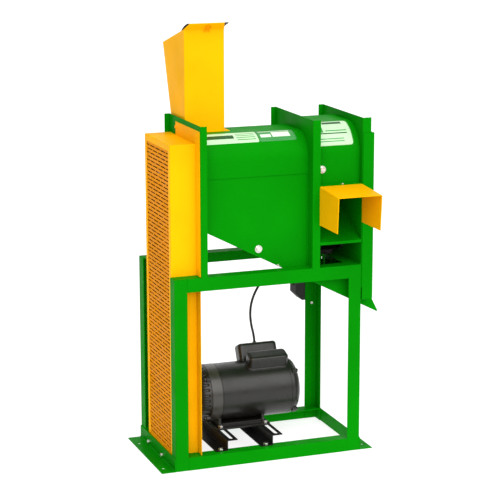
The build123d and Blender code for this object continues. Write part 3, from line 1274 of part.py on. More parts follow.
def build_fasteners():
    """Bolts and screws, one group for each place they serve."""
    large = (BOLT_HEAD_RADIUS, BOLT_HEAD_HEIGHT)
    medium = (MEDIUM_HEAD_RADIUS, MEDIUM_HEAD_HEIGHT)
    small = (SMALL_HEAD_RADIUS, SMALL_HEAD_HEIGHT)
    save("chamber_bolts", [
        bolt_on_front(CHUTE_BOLT[0], SHEET - LEFT_HOOD_HALF, CHUTE_BOLT[1], *large, WASHER_THICKNESS),
        bolt_on_front(HOOD_BOLT[0], -RIGHT_HOOD_HALF, HOOD_BOLT[1], *large, WASHER_THICKNESS),
        bolt_on_top(SPOUT_BOLT_X, FRONT_Y + 3 * SHEET, RIGHT_HOOD_FOOT + SHEET, *medium),
    ])
    rails_y = (SLIDE_FRONT_Y + SLIDE_BOLT_IN, SLIDE_REAR_Y - SLIDE_BOLT_IN)
    foot_x = [web - SLIDE_FOOT_FLANGE / 2 for web in SLIDE_LEFT_WEBS]
    save("slide_rail_bolts", [bolt_on_top(x, y, ANGLE + SLIDE_WALL, *large)
                              for x in foot_x for y in rails_y])
    slot_x = [web + (SLIDE_TOP_FLANGE + SLIDE_WALL) / 2 for web in SLIDE_LEFT_WEBS]
    top = SLIDE_TOP + FOOT_PLATE_THICKNESS
    save("motor_foot_bolts", [bolt_on_top(x, MOTOR_Y + side * FOOT_BOLT_SPREAD / 2, top, *large)
                              for x in slot_x for side in (-1, 1)])
    plate_x, foot_face = LEFT_PLATE_X - THIN_SHEET, -HALF_LENGTH - ANGLE_WALL
    save("guard_bolts",
         [bolt_on_left(plate_x, y, z, *medium) for y, z in PLATE_BOLTS]
         + [bolt_on_left(foot_face, y, FOOT_BOLT_Z, BOLT_HEAD_RADIUS - 1, BOLT_HEAD_HEIGHT)
            for y in FOOT_BOLTS_Y])
    lip_z = HOPPER_FRONT_TOP - LIP_SCREW_DROP
    flange_y = HOPPER_FRONT_Y - HOPPER_FLANGE / 2
    save("hopper_screws",
         [bolt_on_front(LIP_SCREW_X + side * LIP_SCREW_SPREAD / 2, HOPPER_FRONT_Y, lip_z, *small)
          for side in (-1, 1)]
         + [bolt_on_top(x, flange_y, LEFT_HOOD_TOP + THIN_SHEET, *small) for x in FLANGE_SCREWS_X])
    corner = BEARING_PLATE / 2 - BEARING_BOLT_INSET
    faces = (LEFT_PLATE_X - THIN_SHEET - BEARING_PLATE_THICKNESS, RIGHT_PLATE_X - BEARING_PLATE_THICKNESS)
    save("bearing_bolts", [bolt_on_left(x, sy * corner, ROTOR_Z + sz * corner, *large)
                           for x in faces for sy in (-1, 1) for sz in (-1, 1)])


build_frame()
build_bulkheads()
build_hoods()
build_chute()
build_spout()
build_hopper()
build_guard()
save("fan_belt_cover", fan_belt_cover())
build_bearings()
build_rotor()
build_belts()
build_fan()
build_motor()
build_slides()
build_cable()
build_fasteners()
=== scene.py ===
"""Corn sheller: finishes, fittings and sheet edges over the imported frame."""

import json
import logging
import math
from dataclasses import dataclass
from enum import Enum
from typing import Callable, Sequence

import bmesh
import bpy
import numpy as np
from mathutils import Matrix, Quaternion, Vector


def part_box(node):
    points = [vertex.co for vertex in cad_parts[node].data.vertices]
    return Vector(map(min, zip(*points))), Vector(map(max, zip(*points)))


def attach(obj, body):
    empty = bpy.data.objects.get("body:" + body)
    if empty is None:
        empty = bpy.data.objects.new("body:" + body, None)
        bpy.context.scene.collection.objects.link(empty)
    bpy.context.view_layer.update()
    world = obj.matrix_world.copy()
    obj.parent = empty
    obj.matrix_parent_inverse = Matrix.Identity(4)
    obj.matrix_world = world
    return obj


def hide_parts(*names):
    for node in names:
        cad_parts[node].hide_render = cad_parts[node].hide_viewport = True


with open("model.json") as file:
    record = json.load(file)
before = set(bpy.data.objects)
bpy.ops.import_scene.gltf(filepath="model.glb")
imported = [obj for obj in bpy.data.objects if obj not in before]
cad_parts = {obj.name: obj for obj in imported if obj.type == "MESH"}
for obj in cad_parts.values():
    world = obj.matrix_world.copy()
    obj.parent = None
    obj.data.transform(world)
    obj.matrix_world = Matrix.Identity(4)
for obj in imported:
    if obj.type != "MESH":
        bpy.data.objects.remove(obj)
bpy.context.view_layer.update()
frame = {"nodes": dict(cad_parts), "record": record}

log = logging.getLogger("corn_sheller")
Array = np.ndarray
Point = tuple[float, float, float]
Colour = tuple[float, float, float]
Object = bpy.types.Object
Socket = bpy.types.NodeSocket

MM = 0.001
FULL_TURN = 2.0 * math.pi
QUARTER_TURN = math.pi / 2
MERGE = 2e-6
FLAT_JOINT = 0.6
SHARP_ANGLE = 35.0
MOTOR_AXIS: Point = (0.0, 30.0, 163.0)
RECORD = frame["record"]
BODY_OF = {node: body for body, nodes in RECORD["behaviour"]["bodies"].items() for node in nodes}


# Finishes


@dataclass(frozen=True)
class Grain:
    """A noise over the object: scale per metre, detail, strength and depth of its relief, and stretch."""

    scale: float
    detail: float = 3.0
    strength: float = 0.0
    depth: float = 0.0
    stretch: Point = (1.0, 1.0, 1.0)


class Shader:
    """A small workbench for one material's nodes."""

    def __init__(self, name: str) -> None:
        """Starts a material with its output and one shader.

        Args:
            name: the material's name.
        """
        self.material = bpy.data.materials.new(name)
        self.material.use_nodes = True
        self.tree = self.material.node_tree
        self.surface = self.tree.nodes["Principled BSDF"]
        self.coords = self.tree.nodes.new("ShaderNodeTexCoord")

    def give(self, socket: Socket, value: Socket | float | Colour) -> None:
        """Links a value to a socket, or sets a plain number or colour on it.

        Args:
            socket: the socket to fill.
            value: another node's socket, a number or a colour.
        """
        if isinstance(value, Socket):
            self.tree.links.new(value, socket)
        else:
            socket.default_value = (*value, 1.0) if isinstance(value, tuple) else value

    def set(self, **values: Socket | float | Colour) -> None:
        """Fills the shader's sockets by name, with underscores for blanks."""
        for name, value in values.items():
            self.give(self.surface.inputs[name.replace("_", " ")], value)

    def place(self, source: str, stretch: Point = (1.0, 1.0, 1.0)) -> Socket:
        """The piece's coordinates, stretched along their axes.

        Args:
            source: "Object", which is in metres, or "UV".
            stretch: the scale along each axis.

        Returns:
            The mapped vector's socket.
        """
        mapping = self.tree.nodes.new("ShaderNodeMapping")
        mapping.inputs["Scale"].default_value = stretch
        self.tree.links.new(self.coords.outputs[source], mapping.inputs["Vector"])
        return mapping.outputs["Vector"]

    def noise(self, grain: Grain) -> Socket:
        """A noise over the object.

        Args:
            grain: the noise's scale, detail and stretch.

        Returns:
            The socket of its value, between 0 and 1.
        """
        node = self.tree.nodes.new("ShaderNodeTexNoise")
        self.give(node.inputs["Scale"], grain.scale)
        self.give(node.inputs["Detail"], grain.detail)
        self.give(node.inputs["Vector"], self.place("Object", grain.stretch))
        return node.outputs["Fac"]

    def between(self, value: Socket, low: float, high: float, out_low: float = 0.0,
                out_high: float = 1.0) -> Socket:
        """Maps a value's range to another, clamped.

        Args:
            value: the value's socket.
            low: the value that gives the lower result.
            high: the value that gives the higher result.
            out_low: the lower result.
            out_high: the higher result.

        Returns:
            The result's socket.
        """
        node = self.tree.nodes.new("ShaderNodeMapRange")
        fills = {"Value": value, "From Min": low, "From Max": high, "To Min": out_low, "To Max": out_high}
        for name, fill in fills.items():
            self.give(node.inputs[name], fill)
        return node.outputs["Result"]

    def blend(self, factor: Socket, first: Socket | Colour, second: Socket | Colour) -> Socket:
        """Mixes two colours by a factor.

        Args:
            factor: 0 for the first colour and 1 for the second.
            first: the first colour.
            second: the second colour.

        Returns:
            The mixed colour's socket.
        """
        node = self.tree.nodes.new("ShaderNodeMix")
        node.data_type = "RGBA"
        self.give(node.inputs["Factor"], factor)
        for name, colour in (("A", first), ("B", second)):
            self.give([s for s in node.inputs if s.name == name and s.type == "RGBA"][0], colour)
        return [s for s in node.outputs if s.type == "RGBA"][0]

    def mottle(self, grain: Grain, first: Colour, second: Colour, low: float = 0.35,
               high: float = 0.65) -> Socket:
        """Two colours in patches of a grain, the first under one level of it and the second over another."""
        return self.blend(self.between(self.noise(grain), low, high), first, second)

    def math(self, operation: str, first: Socket | float, second: Socket | float) -> Socket:
        """One arithmetic step on two values.

        Args:
            operation: the step, as the node calls it.
            first: the first value.
            second: the second value.

        Returns:
            The result's socket.
        """
        node = self.tree.nodes.new("ShaderNodeMath")
        node.operation = operation
        for socket, value in zip(node.inputs, (first, second)):
            self.give(socket, value)
        return node.outputs["Value"]

    def relief(self, grain: Grain, height: Socket | None = None, under: Socket | None = None) -> Socket:
        """A normal bent by a grain.

        Args:
            grain: the grain, with the strength and depth of the relief.
            height: the grain's own value, where it has been made already.
            under: a normal that the relief lies on.

        Returns:
            The normal's socket.
        """
        node = self.tree.nodes.new("ShaderNodeBump")
        self.give(node.inputs["Strength"], grain.strength)
        self.give(node.inputs["Distance"], grain.depth)
        self.give(node.inputs["Height"], self.noise(grain) if height is None else height)
        if under is not None:
            self.give(node.inputs["Normal"], under)
        return node.outputs["Normal"]


def tinted(colour: Colour, factor: float, lift: float = 0.0) -> Colour:
    """A colour times a factor, with a lift added."""
    return tuple(c * factor + lift for c in colour)


@dataclass(frozen=True)
class Enamel:
    """Sprayed enamel: a slow drift of tone, orange peel, and a gloss that dulls where dust settles."""

    name: str
    slot: str
    colour: Colour
    roughness: float = 0.42
    gloss: float = 0.02
    peel: float = 0.10
    drift: float = 0.06
    cloud: Grain = Grain(scale=5.0)
    dust: Grain = Grain(scale=18.0, detail=6.0)
    waves: Grain = Grain(scale=14.0, detail=1.0, strength=0.05, depth=0.004)
    dust_levels: tuple[float, float] = (0.35, 0.75)
    dulling: tuple[float, float] = (-0.05, 0.12)
    peel_scale: float = 650.0
    peel_depth: float = 0.0004

    def material(self) -> bpy.types.Material:
        """Builds the material.

        Returns:
            The material.
        """
        shader = Shader(self.name)
        shader.set(Roughness=self.roughness, Specular_IOR_Level=self.gloss)
        deep, fresh = (tinted(self.colour, 1.0 + side * self.drift) for side in (-1.0, 1.0))
        skin = Grain(self.peel_scale, detail=2.0, strength=self.peel, depth=self.peel_depth)
        shader.set(Base_Color=shader.mottle(self.cloud, deep, fresh),
                   Roughness=shader.between(shader.noise(self.dust), *self.dust_levels,
                                            *(self.roughness + change for change in self.dulling)),
                   Normal=shader.relief(skin, under=shader.relief(self.waves)))
        return shader.material


@dataclass(frozen=True)
class Steel:
    """Bare or plated steel: fine scratches along one way, and patches of stain."""

    name: str
    slot: str
    colour: Colour
    stain: Colour
    roughness: float
    patches: Grain = Grain(scale=45.0, detail=5.0)
    scratches: Grain = Grain(scale=1.0, detail=2.0, strength=0.08, depth=0.0002, stretch=(40.0, 900.0, 900.0))
    stain_levels: tuple[float, float] = (0.48, 0.7)
    scratch_levels: tuple[float, float] = (0.3, 0.7)
    dulling: tuple[float, float] = (-0.08, 0.15)

    def material(self) -> bpy.types.Material:
        """Builds the material.

        Returns:
            The material.
        """
        shader = Shader(self.name)
        shader.set(Metallic=1.0, Roughness=self.roughness)
        lines = shader.noise(self.scratches)
        shader.set(Base_Color=shader.mottle(self.patches, self.colour, self.stain, *self.stain_levels),
                   Roughness=shader.between(lines, *self.scratch_levels,
                                            *(self.roughness + change for change in self.dulling)),
                   Normal=shader.relief(self.scratches, lines))
        return shader.material


@dataclass(frozen=True)
class Casting:
    """Cast iron as it leaves the sand: dark, dull and finely pitted."""

    name: str
    slot: str
    colour: Colour
    patches: Grain = Grain(scale=60.0, detail=6.0)
    pits: Grain = Grain(scale=420.0, detail=5.0, strength=0.35, depth=0.0006)
    shade: float = 0.55

    def material(self) -> bpy.types.Material:
        """Builds the material.

        Returns:
            The material.
        """
        shader = Shader(self.name)
        shader.set(Metallic=0.55, Roughness=0.62, Normal=shader.relief(self.pits),
                   Base_Color=shader.mottle(self.patches, tinted(self.colour, self.shade), self.colour))
        return shader.material


@dataclass(frozen=True)
class Moulded:
    """Rubber or plastic from a mould: matt, with a fine grain and a little bloom."""

    name: str
    slot: str
    colour: Colour
    roughness: float
    grain: float
    bloom: Grain = Grain(scale=30.0, detail=4.0)
    bloom_levels: tuple[float, float] = (0.4, 0.8)
    bloom_gain: float = 1.7
    bloom_lift: float = 0.006
    grain_scale: float = 900.0
    grain_depth: float = 0.0003

    def material(self) -> bpy.types.Material:
        """Builds the material.

        Returns:
            The material.
        """
        shader = Shader(self.name)
        pale = tinted(self.colour, self.bloom_gain, self.bloom_lift)
        skin = Grain(self.grain_scale, detail=2.0, strength=self.grain, depth=self.grain_depth)
        shader.set(Roughness=self.roughness, Specular_IOR_Level=0.4, Normal=shader.relief(skin),
                   Base_Color=shader.mottle(self.bloom, self.colour, pale, *self.bloom_levels))
        return shader.material


@dataclass(frozen=True)
class Bar:
    """One plain bar of a film, between shares of its length and of its height."""

    left: float
    right: float
    low: float
    high: float
    colour: Colour


@dataclass(frozen=True)
class Film:
    """A printed film: a ground colour with plain bars on it."""

    name: str
    slot: str
    ground: Colour
    bars: tuple[Bar, ...]
    cloud: Grain = Grain(scale=24.0)
    skin: Grain = Grain(scale=300.0, detail=2.0, strength=0.04, depth=0.0003)
    fading: float = 0.92

    def material(self) -> bpy.types.Material:
        """Builds the material, whose bars are set out on the piece's UV map.

        Returns:
            The material.
        """
        shader = Shader(self.name)
        split = shader.tree.nodes.new("ShaderNodeSeparateXYZ")
        shader.give(split.inputs["Vector"], shader.place("UV"))
        along, height = split.outputs["X"], split.outputs["Y"]
        colour = shader.mottle(self.cloud, self.ground, tinted(self.ground, self.fading))
        for bar in self.bars:
            inside: Socket | float = 1.0
            for test, value, limit in (("GREATER_THAN", along, bar.left), ("LESS_THAN", along, bar.right),
                                       ("GREATER_THAN", height, bar.low), ("LESS_THAN", height, bar.high)):
                inside = shader.math("MULTIPLY", inside, shader.math(test, value, limit))
            colour = shader.blend(inside, colour, bar.colour)
        shader.set(Roughness=0.38, Specular_IOR_Level=0.25, Base_Color=colour,
                   Normal=shader.relief(self.skin))
        return shader.material


DEEP_INK: Colour = (0.010, 0.085, 0.014)
MID_INK: Colour = (0.05, 0.30, 0.07)
PALE_INK: Colour = (0.74, 0.86, 0.70)
PALE_GROUND: Colour = (0.55, 0.80, 0.50)


class Finish(Enum):
    """Every finish on the machine."""

    GREEN = Enamel("green_enamel", "sheet_green", (0.0010, 0.236, 0.0010))
    FRAME_GREEN = Enamel("frame_green_enamel", "frame_green", (0.0010, 0.228, 0.0010), peel=0.16)
    YELLOW = Enamel("yellow_enamel", "guard_yellow", (0.94, 0.450, 0.0010))
    # Painted shade: a darker, more orange copy of the yellow enamel, for the shade among the guard mesh's
    # strands and round the lip ring.
    SHADED_YELLOW = Enamel("shaded_mesh_enamel", "guard_yellow", (0.76, 0.262, 0.0008), roughness=0.5)
    MOTOR = Enamel("motor_enamel", "motor_black", (0.0100, 0.0090, 0.0074), 0.31, gloss=0.5, peel=0.2)
    # Painted highlight: a lighter copy of the motor enamel that paints the bright sheen on the band at the
    # drive end, with a lower roughness and more gloss.
    MOTOR_BAND_HIGHLIGHT = Enamel("motor_band_highlight_enamel", "motor_black", (0.040, 0.037, 0.031), 0.28, gloss=0.6)
    SLIDE = Enamel("slide_enamel", "slide_black", (0.0035, 0.0035, 0.0035), 0.45, gloss=0.3, peel=0.2)
    ZINC = Steel("zinc_plate", "zinc_steel", (0.80, 0.785, 0.74), (0.52, 0.48, 0.40), 0.32)
    STEEL = Steel("worked_steel", "bare_steel", (0.56, 0.55, 0.53), (0.30, 0.26, 0.22), 0.36)
    SCALE = Steel("scaled_steel", "bare_steel", (0.085, 0.080, 0.076), (0.045, 0.034, 0.026), 0.52)
    IRON = Casting("grey_casting", "cast_iron", (0.060, 0.056, 0.052))
    RUBBER = Moulded("black_rubber", "black_rubber", (0.008, 0.008, 0.009), 0.62, 0.2)
    PLASTIC = Moulded("black_plastic", "black_plastic", (0.009, 0.009, 0.010), 0.48, 0.12)
    MARK = Moulded("pale_mark", "black_plastic", (0.62, 0.62, 0.60), 0.5, 0.05)
    PALE_FILM = Film("pale_film", "sheet_green", PALE_GROUND, (
        Bar(0.05, 0.62, 0.34, 0.66, DEEP_INK), Bar(0.66, 0.96, 0.20, 0.26, MID_INK),
        Bar(0.66, 0.96, 0.37, 0.43, MID_INK), Bar(0.66, 0.96, 0.54, 0.60, MID_INK),
        Bar(0.66, 0.96, 0.71, 0.77, MID_INK)))
    GREEN_FILM = Film("green_film", "sheet_green", MID_INK, (
        Bar(0.06, 0.34, 0.30, 0.56, PALE_INK), Bar(0.38, 0.86, 0.30, 0.74, PALE_INK),
        Bar(0.06, 0.90, 0.84, 0.90, PALE_INK)))
    SIDE_FILM = Film("side_film", "sheet_green", PALE_GROUND, (
        Bar(0.0, 0.34, 0.44, 0.70, MID_INK), Bar(0.0, 0.90, 0.38, 0.42, DEEP_INK),
        Bar(0.40, 0.86, 0.80, 0.93, DEEP_INK), Bar(0.40, 0.90, 0.48, 0.52, MID_INK),
        Bar(0.0, 0.80, 0.20, 0.23, MID_INK), Bar(0.0, 0.80, 0.12, 0.15, MID_INK)))

    def build(self) -> bpy.types.Material:
        """The finish's material, made once."""
        return bpy.data.materials.get(self.value.name) or self.value.material()


# Surfaces


class Facing(Enum):
    """A direction along one axis, such as the way that a fastener's head looks."""

    LEFT = (-1.0, 0.0, 0.0)
    RIGHT = (1.0, 0.0, 0.0)
    FRONT = (0.0, -1.0, 0.0)
    REAR = (0.0, 1.0, 0.0)
    UP = (0.0, 0.0, 1.0)

    @property
    def axis(self) -> int:
        """The axis that it lies along."""
        return int(np.argmax(np.abs(self.value)))


def unit(vector: Array) -> Array:
    """Vectors scaled to length one along their last axis."""
    return vector / np.linalg.norm(vector, axis=-1, keepdims=True)


def around(steps: int) -> Array:
    """The angles of a full turn in equal steps."""
    return np.arange(steps) * FULL_TURN / steps


def circle(angle: Array) -> Array:
    """The points (cos a, sin a)."""
    return np.stack([np.cos(angle), np.sin(angle)], axis=-1)


def capped(rows: Array) -> Array:
    """Rows of points with a row at either end that is drawn to its neighbour's middle."""
    first, last = (np.repeat(rows[k].mean(0)[None, None], rows.shape[1], 1) for k in (0, -1))
    return np.concatenate([first, rows, last])


@dataclass
class Surface:
    """Points in millimetres and the quads between them, with a place on a map for each point."""

    points: Array
    quads: Array
    uv: Array

    @staticmethod
    def grid(points: Array, wrap_rows: bool = False, wrap_columns: bool = False) -> "Surface":
        """A surface over a rows x columns grid of points.

        Args:
            points: an array of rows x columns x 3.
            wrap_rows: the last row meets the first.
            wrap_columns: the last column meets the first.

        Returns:
            The surface, whose map runs 0..1 along the rows (u) and the columns (v).
        """
        rows, columns = points.shape[:2]
        i, j = np.meshgrid(np.arange(rows - (not wrap_rows)), np.arange(columns - (not wrap_columns)),
                           indexing="ij")
        i2, j2 = (i + 1) % rows, (j + 1) % columns
        quads = np.stack([i * columns + j, i2 * columns + j, i2 * columns + j2, i * columns + j2], axis=-1)
        u, v = np.meshgrid(np.linspace(0, 1, rows), np.linspace(0, 1, columns), indexing="ij")
        return Surface(points.reshape(-1, 3), quads.reshape(-1, 4), np.stack([u, v], -1).reshape(-1, 2))

    @staticmethod
    def turned(x: Array, radius: Array, angle: Array, wrap_rows: bool = False) -> "Surface":
        """Points (x, r cos a, r sin a) over a grid, with its rows along X and its columns round it.

        Args:
            x: places along X.
            radius: r, in millimetres.
            angle: a, in radians.
            wrap_rows: the last row meets the first.

        Returns:
            The surface over the shape that the three arrays share.
        """
        x, radius, angle = np.broadcast_arrays(x, radius, angle)
        points = np.stack([x, radius * np.cos(angle), radius * np.sin(angle)], axis=-1)
        return Surface.grid(points, wrap_rows, wrap_columns=True)

    @staticmethod
    def revolved(profile: Sequence[tuple[float, float]], steps: int) -> "Surface":
        """A profile of (x, radius) turned about X in equal steps."""
        outline = np.array(profile)
        return Surface.turned(outline[:, :1], outline[:, 1:], around(steps))

    @staticmethod
    def swept(path: Array, section: Array, up: Sequence[float], closed_path: bool = False) -> "Surface":
        """A closed section carried along a path: p(s) + a side(s) + b rise(s), rise held near one way.

        Args:
            path: rows of points.
            section: rows of (a, b), or path rows x section rows x 2 where it changes on the way.
            up: the direction that rise stays close to.
            closed_path: the path's end meets its start.

        Returns:
            The tube, with its ends closed to a point unless the path is closed.
        """
        around_path = np.roll(path, -1, 0) - np.roll(path, 1, 0)
        along = unit(around_path if closed_path else np.gradient(path, axis=0))
        side = unit(np.cross(along, np.asarray(up, float)))
        rise = np.cross(side, along)
        points = path[:, None] + section[..., :1] * side[:, None] + section[..., 1:] * rise[:, None]
        return Surface.grid(points if closed_path else capped(points), closed_path, wrap_columns=True)

    @staticmethod
    def merged(parts: Sequence["Surface"]) -> "Surface":
        """Several surfaces as one.

        Args:
            parts: the surfaces.

        Returns:
            One surface with the points and quads of all.
        """
        starts = np.cumsum([0] + [len(part.points) for part in parts[:-1]])
        return Surface(np.concatenate([part.points for part in parts]),
                       np.concatenate([part.quads + start for part, start in zip(parts, starts)]),
                       np.concatenate([part.uv for part in parts]))

    def moved(self, offset: Sequence[float]) -> "Surface":
        """The surface shifted by an offset."""
        return Surface(self.points + np.asarray(offset, float), self.quads, self.uv)

    def seated(self, seat: Sequence[float], facing: Facing) -> "Surface":
        """The surface turned from +X to a facing, and set on a seat."""
        turn = np.array(Vector(Facing.RIGHT.value).rotation_difference(Vector(facing.value)).to_matrix())
        return Surface(self.points @ turn.T, self.quads, self.uv).moved(seat)


# Pieces


def placed(name: str, data: bpy.types.ID) -> Object:
    """Puts a new object into the scene.

    Args:
        name: the object's name.
        data: its mesh, curve, camera or light.

    Returns:
        The object.
    """
    shape = bpy.data.objects.new(name, data)
    bpy.context.scene.collection.objects.link(shape)
    return shape


def mounted(shape: Object, finish: Finish, body: str, replaced: Sequence[str] = ()) -> Object:
    """Gives a shape its finish, its body and the CAD nodes that it stands for.

    Args:
        shape: the object.
        finish: its finish.
        body: the body that it rides on.
        replaced: the CAD nodes that it stands for.

    Returns:
        The same object.
    """
    shape.data.materials.append(finish.build())
    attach(shape, body)
    if replaced:
        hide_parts(*replaced)
    log.info("%s in %s on %s", shape.name, finish.name, body)
    return shape


def piece(name: str, surface: Surface, finish: Finish, node: str = "", recalc: bool = True) -> Object:
    """Makes a surface into a piece.

    Args:
        name: the piece's name.
        surface: its surface, in millimetres.
        finish: its finish.
        node: the CAD node that it stands for, whose body it rides on in place of the frame.
        recalc: turn the faces outwards.

    Returns:
        The object.
    """
    mesh = bpy.data.meshes.new(name)
    mesh.from_pydata((surface.points * MM).tolist(), [], surface.quads.tolist())
    layer = mesh.uv_layers.new(name="map")
    corners = np.empty(len(mesh.loops), int)
    mesh.loops.foreach_get("vertex_index", corners)
    layer.data.foreach_set("uv", surface.uv[corners].ravel())
    work = bmesh.new()
    work.from_mesh(mesh)
    bmesh.ops.remove_doubles(work, verts=work.verts, dist=MERGE)
    bmesh.ops.dissolve_degenerate(work, edges=work.edges, dist=MERGE)
    if recalc:
        bmesh.ops.recalc_face_normals(work, faces=work.faces)
    work.to_mesh(mesh)
    work.free()
    mesh.polygons.foreach_set("use_smooth", [True] * len(mesh.polygons))
    mesh.set_sharp_from_angle(angle=math.radians(SHARP_ANGLE))
    return mounted(placed(name, mesh), finish, BODY_OF.get(node, "frame"),
                   [node] if node else [])


def dressed(finish: Finish, *nodes: str) -> None:
    """Gives CAD nodes their finish and leaves their shape.

    Args:
        finish: the finish.
        nodes: the CAD nodes.
    """
    for node in nodes:
        for holder in frame["nodes"][node].material_slots:
            holder.material = finish.build()


def softened(node: str, finish: Finish, rounding: float, angle: float = 32.0) -> Object:
    """A copy of a CAD node with its edges rounded as a press or a rolling mill leaves them.

    Args:
        node: the CAD node, which the copy stands for.
        finish: its finish.
        rounding: the radius of the edges, in millimetres.
        angle: the angle in degrees above which an edge is rounded.

    Returns:
        The copy.
    """
    mesh = frame["nodes"][node].data.copy()
    mesh.name = f"{node}_worked"
    mesh.materials.clear()
    work = bmesh.new()
    work.from_mesh(mesh)
    bmesh.ops.remove_doubles(work, verts=work.verts, dist=MERGE)
    bmesh.ops.dissolve_limit(work, angle_limit=math.radians(FLAT_JOINT), verts=work.verts, edges=work.edges)
    bmesh.ops.recalc_face_normals(work, faces=work.faces)
    work.to_mesh(mesh)
    work.free()
    mesh.polygons.foreach_set("use_smooth", [True] * len(mesh.polygons))
    shape = placed(mesh.name, mesh)
    bevel = shape.modifiers.new("rounding", "BEVEL")
    bevel.width = rounding * MM
    bevel.segments = 2
    bevel.limit_method = "ANGLE"
    bevel.angle_limit = math.radians(angle)
    bevel.miter_outer = "MITER_ARC"
    shape.modifiers.new("shading", "WEIGHTED_NORMAL").keep_sharp = True
    return mounted(shape, finish, BODY_OF[node], [node])


def shifted(shape: Object, shift: Callable[[Array], Array]) -> None:
    """Moves a mesh's points along X by a shift that depends on where they are.

    Args:
        shape: the object whose mesh is changed.
        shift: gives each point's move from the array of points, both in millimetres.
    """
    mesh = shape.data
    points = np.empty(len(mesh.vertices) * 3)
    mesh.vertices.foreach_get("co", points)
    points = points.reshape(-1, 3) / MM
    points[:, 0] += shift(points)
    mesh.vertices.foreach_set("co", (points * MM).ravel())
    mesh.update()


def islands(node: str) -> list[tuple[Array, Array]]:
    """The separate solids of a CAD node.

    Args:
        node: the CAD node.

    Returns:
        Each solid's (lowest, highest) corners in millimetres, in order of the lowest.
    """
    work = bmesh.new()
    work.from_mesh(frame["nodes"][node].data)
    bmesh.ops.remove_doubles(work, verts=work.verts, dist=MERGE)
    left = set(work.verts)
    found = []
    while left:
        group, edge = set(), {left.pop()}
        while edge:
            group |= edge
            edge = {other for vert in edge for link in vert.link_edges for other in link.verts} - group
        left -= group
        points = np.array([vert.co[:] for vert in group]) / MM
        found.append((points.min(0), points.max(0)))
    work.free()
    return sorted(found, key=lambda pair: tuple(pair[0]))


# Fasteners and welds


@dataclass
class HexBolt:
    """A hexagon head with chamfered corners and a dished top, on a washer where it has one."""

    radius: float
    height: float
    washer: float = 0.0
    washer_thickness: float = 1.6
    washer_edge: float = 0.3
    bore_share: float = 0.5
    dish: float = 0.05
    steps: int = 60
    ring_steps: int = 40

    def head(self) -> Surface:
        """The head along X: r(a, t) is the lesser of the hexagon's radius at a and the chamfer's at t.

        Returns:
            The head, seated at X = 0.
        """
        angle = around(self.steps)
        sixth = math.pi / 6
        hexagon = self.radius * math.cos(sixth) / np.cos((angle + sixth) % (2 * sixth) - sixth)
        levels = np.array([0.0, 0.0, 0.62, 0.82, 0.93, 1.0, 1.0 - self.dish, 1.0 - self.dish])
        share = np.array([0.0, 1.1, 1.1, 1.0, 0.93, 0.84, 0.5, 0.0])
        radius = np.minimum(hexagon, share[:, None] * self.radius)
        return Surface.turned(levels[:, None] * self.height, radius, angle)

    def ring(self) -> Surface:
        """The washer along X, a flat ring with rounded rims.

        Returns:
            The washer, seated at X = 0.
        """
        thick, edge, bore = self.washer_thickness, self.washer_edge, self.radius * self.bore_share
        return Surface.revolved([
            (0.0, bore), (0.0, self.washer - edge), (edge, self.washer), (thick - edge, self.washer),
            (thick, self.washer - edge), (thick, bore), (0.0, bore)], self.ring_steps)

    def at(self, seat: Sequence[float], facing: Facing) -> Surface:
        """The bolt on a seat, looking one way.

        Args:
            seat: the middle of the face that it sits on.
            facing: the way that its head looks.

        Returns:
            The head, with its washer where it has one.
        """
        if not self.washer:
            return self.head().seated(seat, facing)
        head = self.head().moved((self.washer_thickness, 0.0, 0.0))
        return Surface.merged([head, self.ring()]).seated(seat, facing)


@dataclass
class DomedScrew:
    """A domed head with a cross recess.

    Its height over the seat is h(r, a) = H sqrt(1 - f r r), where f is the fall, less the recess where the
    point lies within an arm's half width of one axis and within an arm's length of the middle.
    """

    radius: float
    height: float
    arm_length: float = 0.58
    arm_half_width: float = 0.15
    recess: float = 0.55
    fall: float = 0.85
    steps: int = 48

    def at(self, seat: Sequence[float], facing: Facing) -> Surface:
        """The screw on a seat, looking one way.

        Args:
            seat: the middle of the face that it sits on.
            facing: the way that its head looks.

        Returns:
            The head.
        """
        share = np.array([0.0, 0.12, 0.16, 0.3, 0.44, 0.56, 0.6, 0.75, 0.88, 0.96, 1.0, 1.0, 0.0])[:, None]
        angle = around(self.steps)[None]
        across = np.abs(share[..., None] * circle(angle))
        arms = (across.min(-1) <= self.arm_half_width) & (across.max(-1) <= self.arm_length)
        height = self.height * (np.sqrt(1.0 - self.fall * share ** 2) - self.recess * arms)
        height[-2:] = 0.0
        return Surface.turned(height, share * self.radius, angle).seated(seat, facing)


@dataclass
class FastenerSet:
    """A CAD group of heads, each remade with its chamfer, washer and seat.

    The facing under -1 is that of every head that has none of its own.
    """

    node: str
    facing: dict[int, Facing]
    washers: tuple[float, ...] = ()
    finish: Finish = Finish.ZINC
    only: tuple[int, ...] = ()
    part: str = "worked"
    washer_share: float = 0.68

    def build(self) -> None:
        """Reads each head's place and size from the group, and makes them as one piece."""
        parts = []
        for index, (low, high) in enumerate(islands(self.node)):
            if self.only and index not in self.only:
                continue
            facing = self.facing.get(index, self.facing[-1])
            axis = facing.axis
            size, middle = high - low, (low + high) / 2
            middle[axis] = low[axis] if sum(facing.value) > 0 else high[axis]
            washer = self.washers[index] if index < len(self.washers) else 0.0
            radius = washer * self.washer_share if washer else max(np.delete(size, axis)) / 2
            height = size[axis] - (HexBolt.washer_thickness if washer else 0.0)
            parts.append(HexBolt(radius, height, washer).at(middle, facing))
        piece(f"{self.node}_{self.part}", Surface.merged(parts), self.finish, self.node)


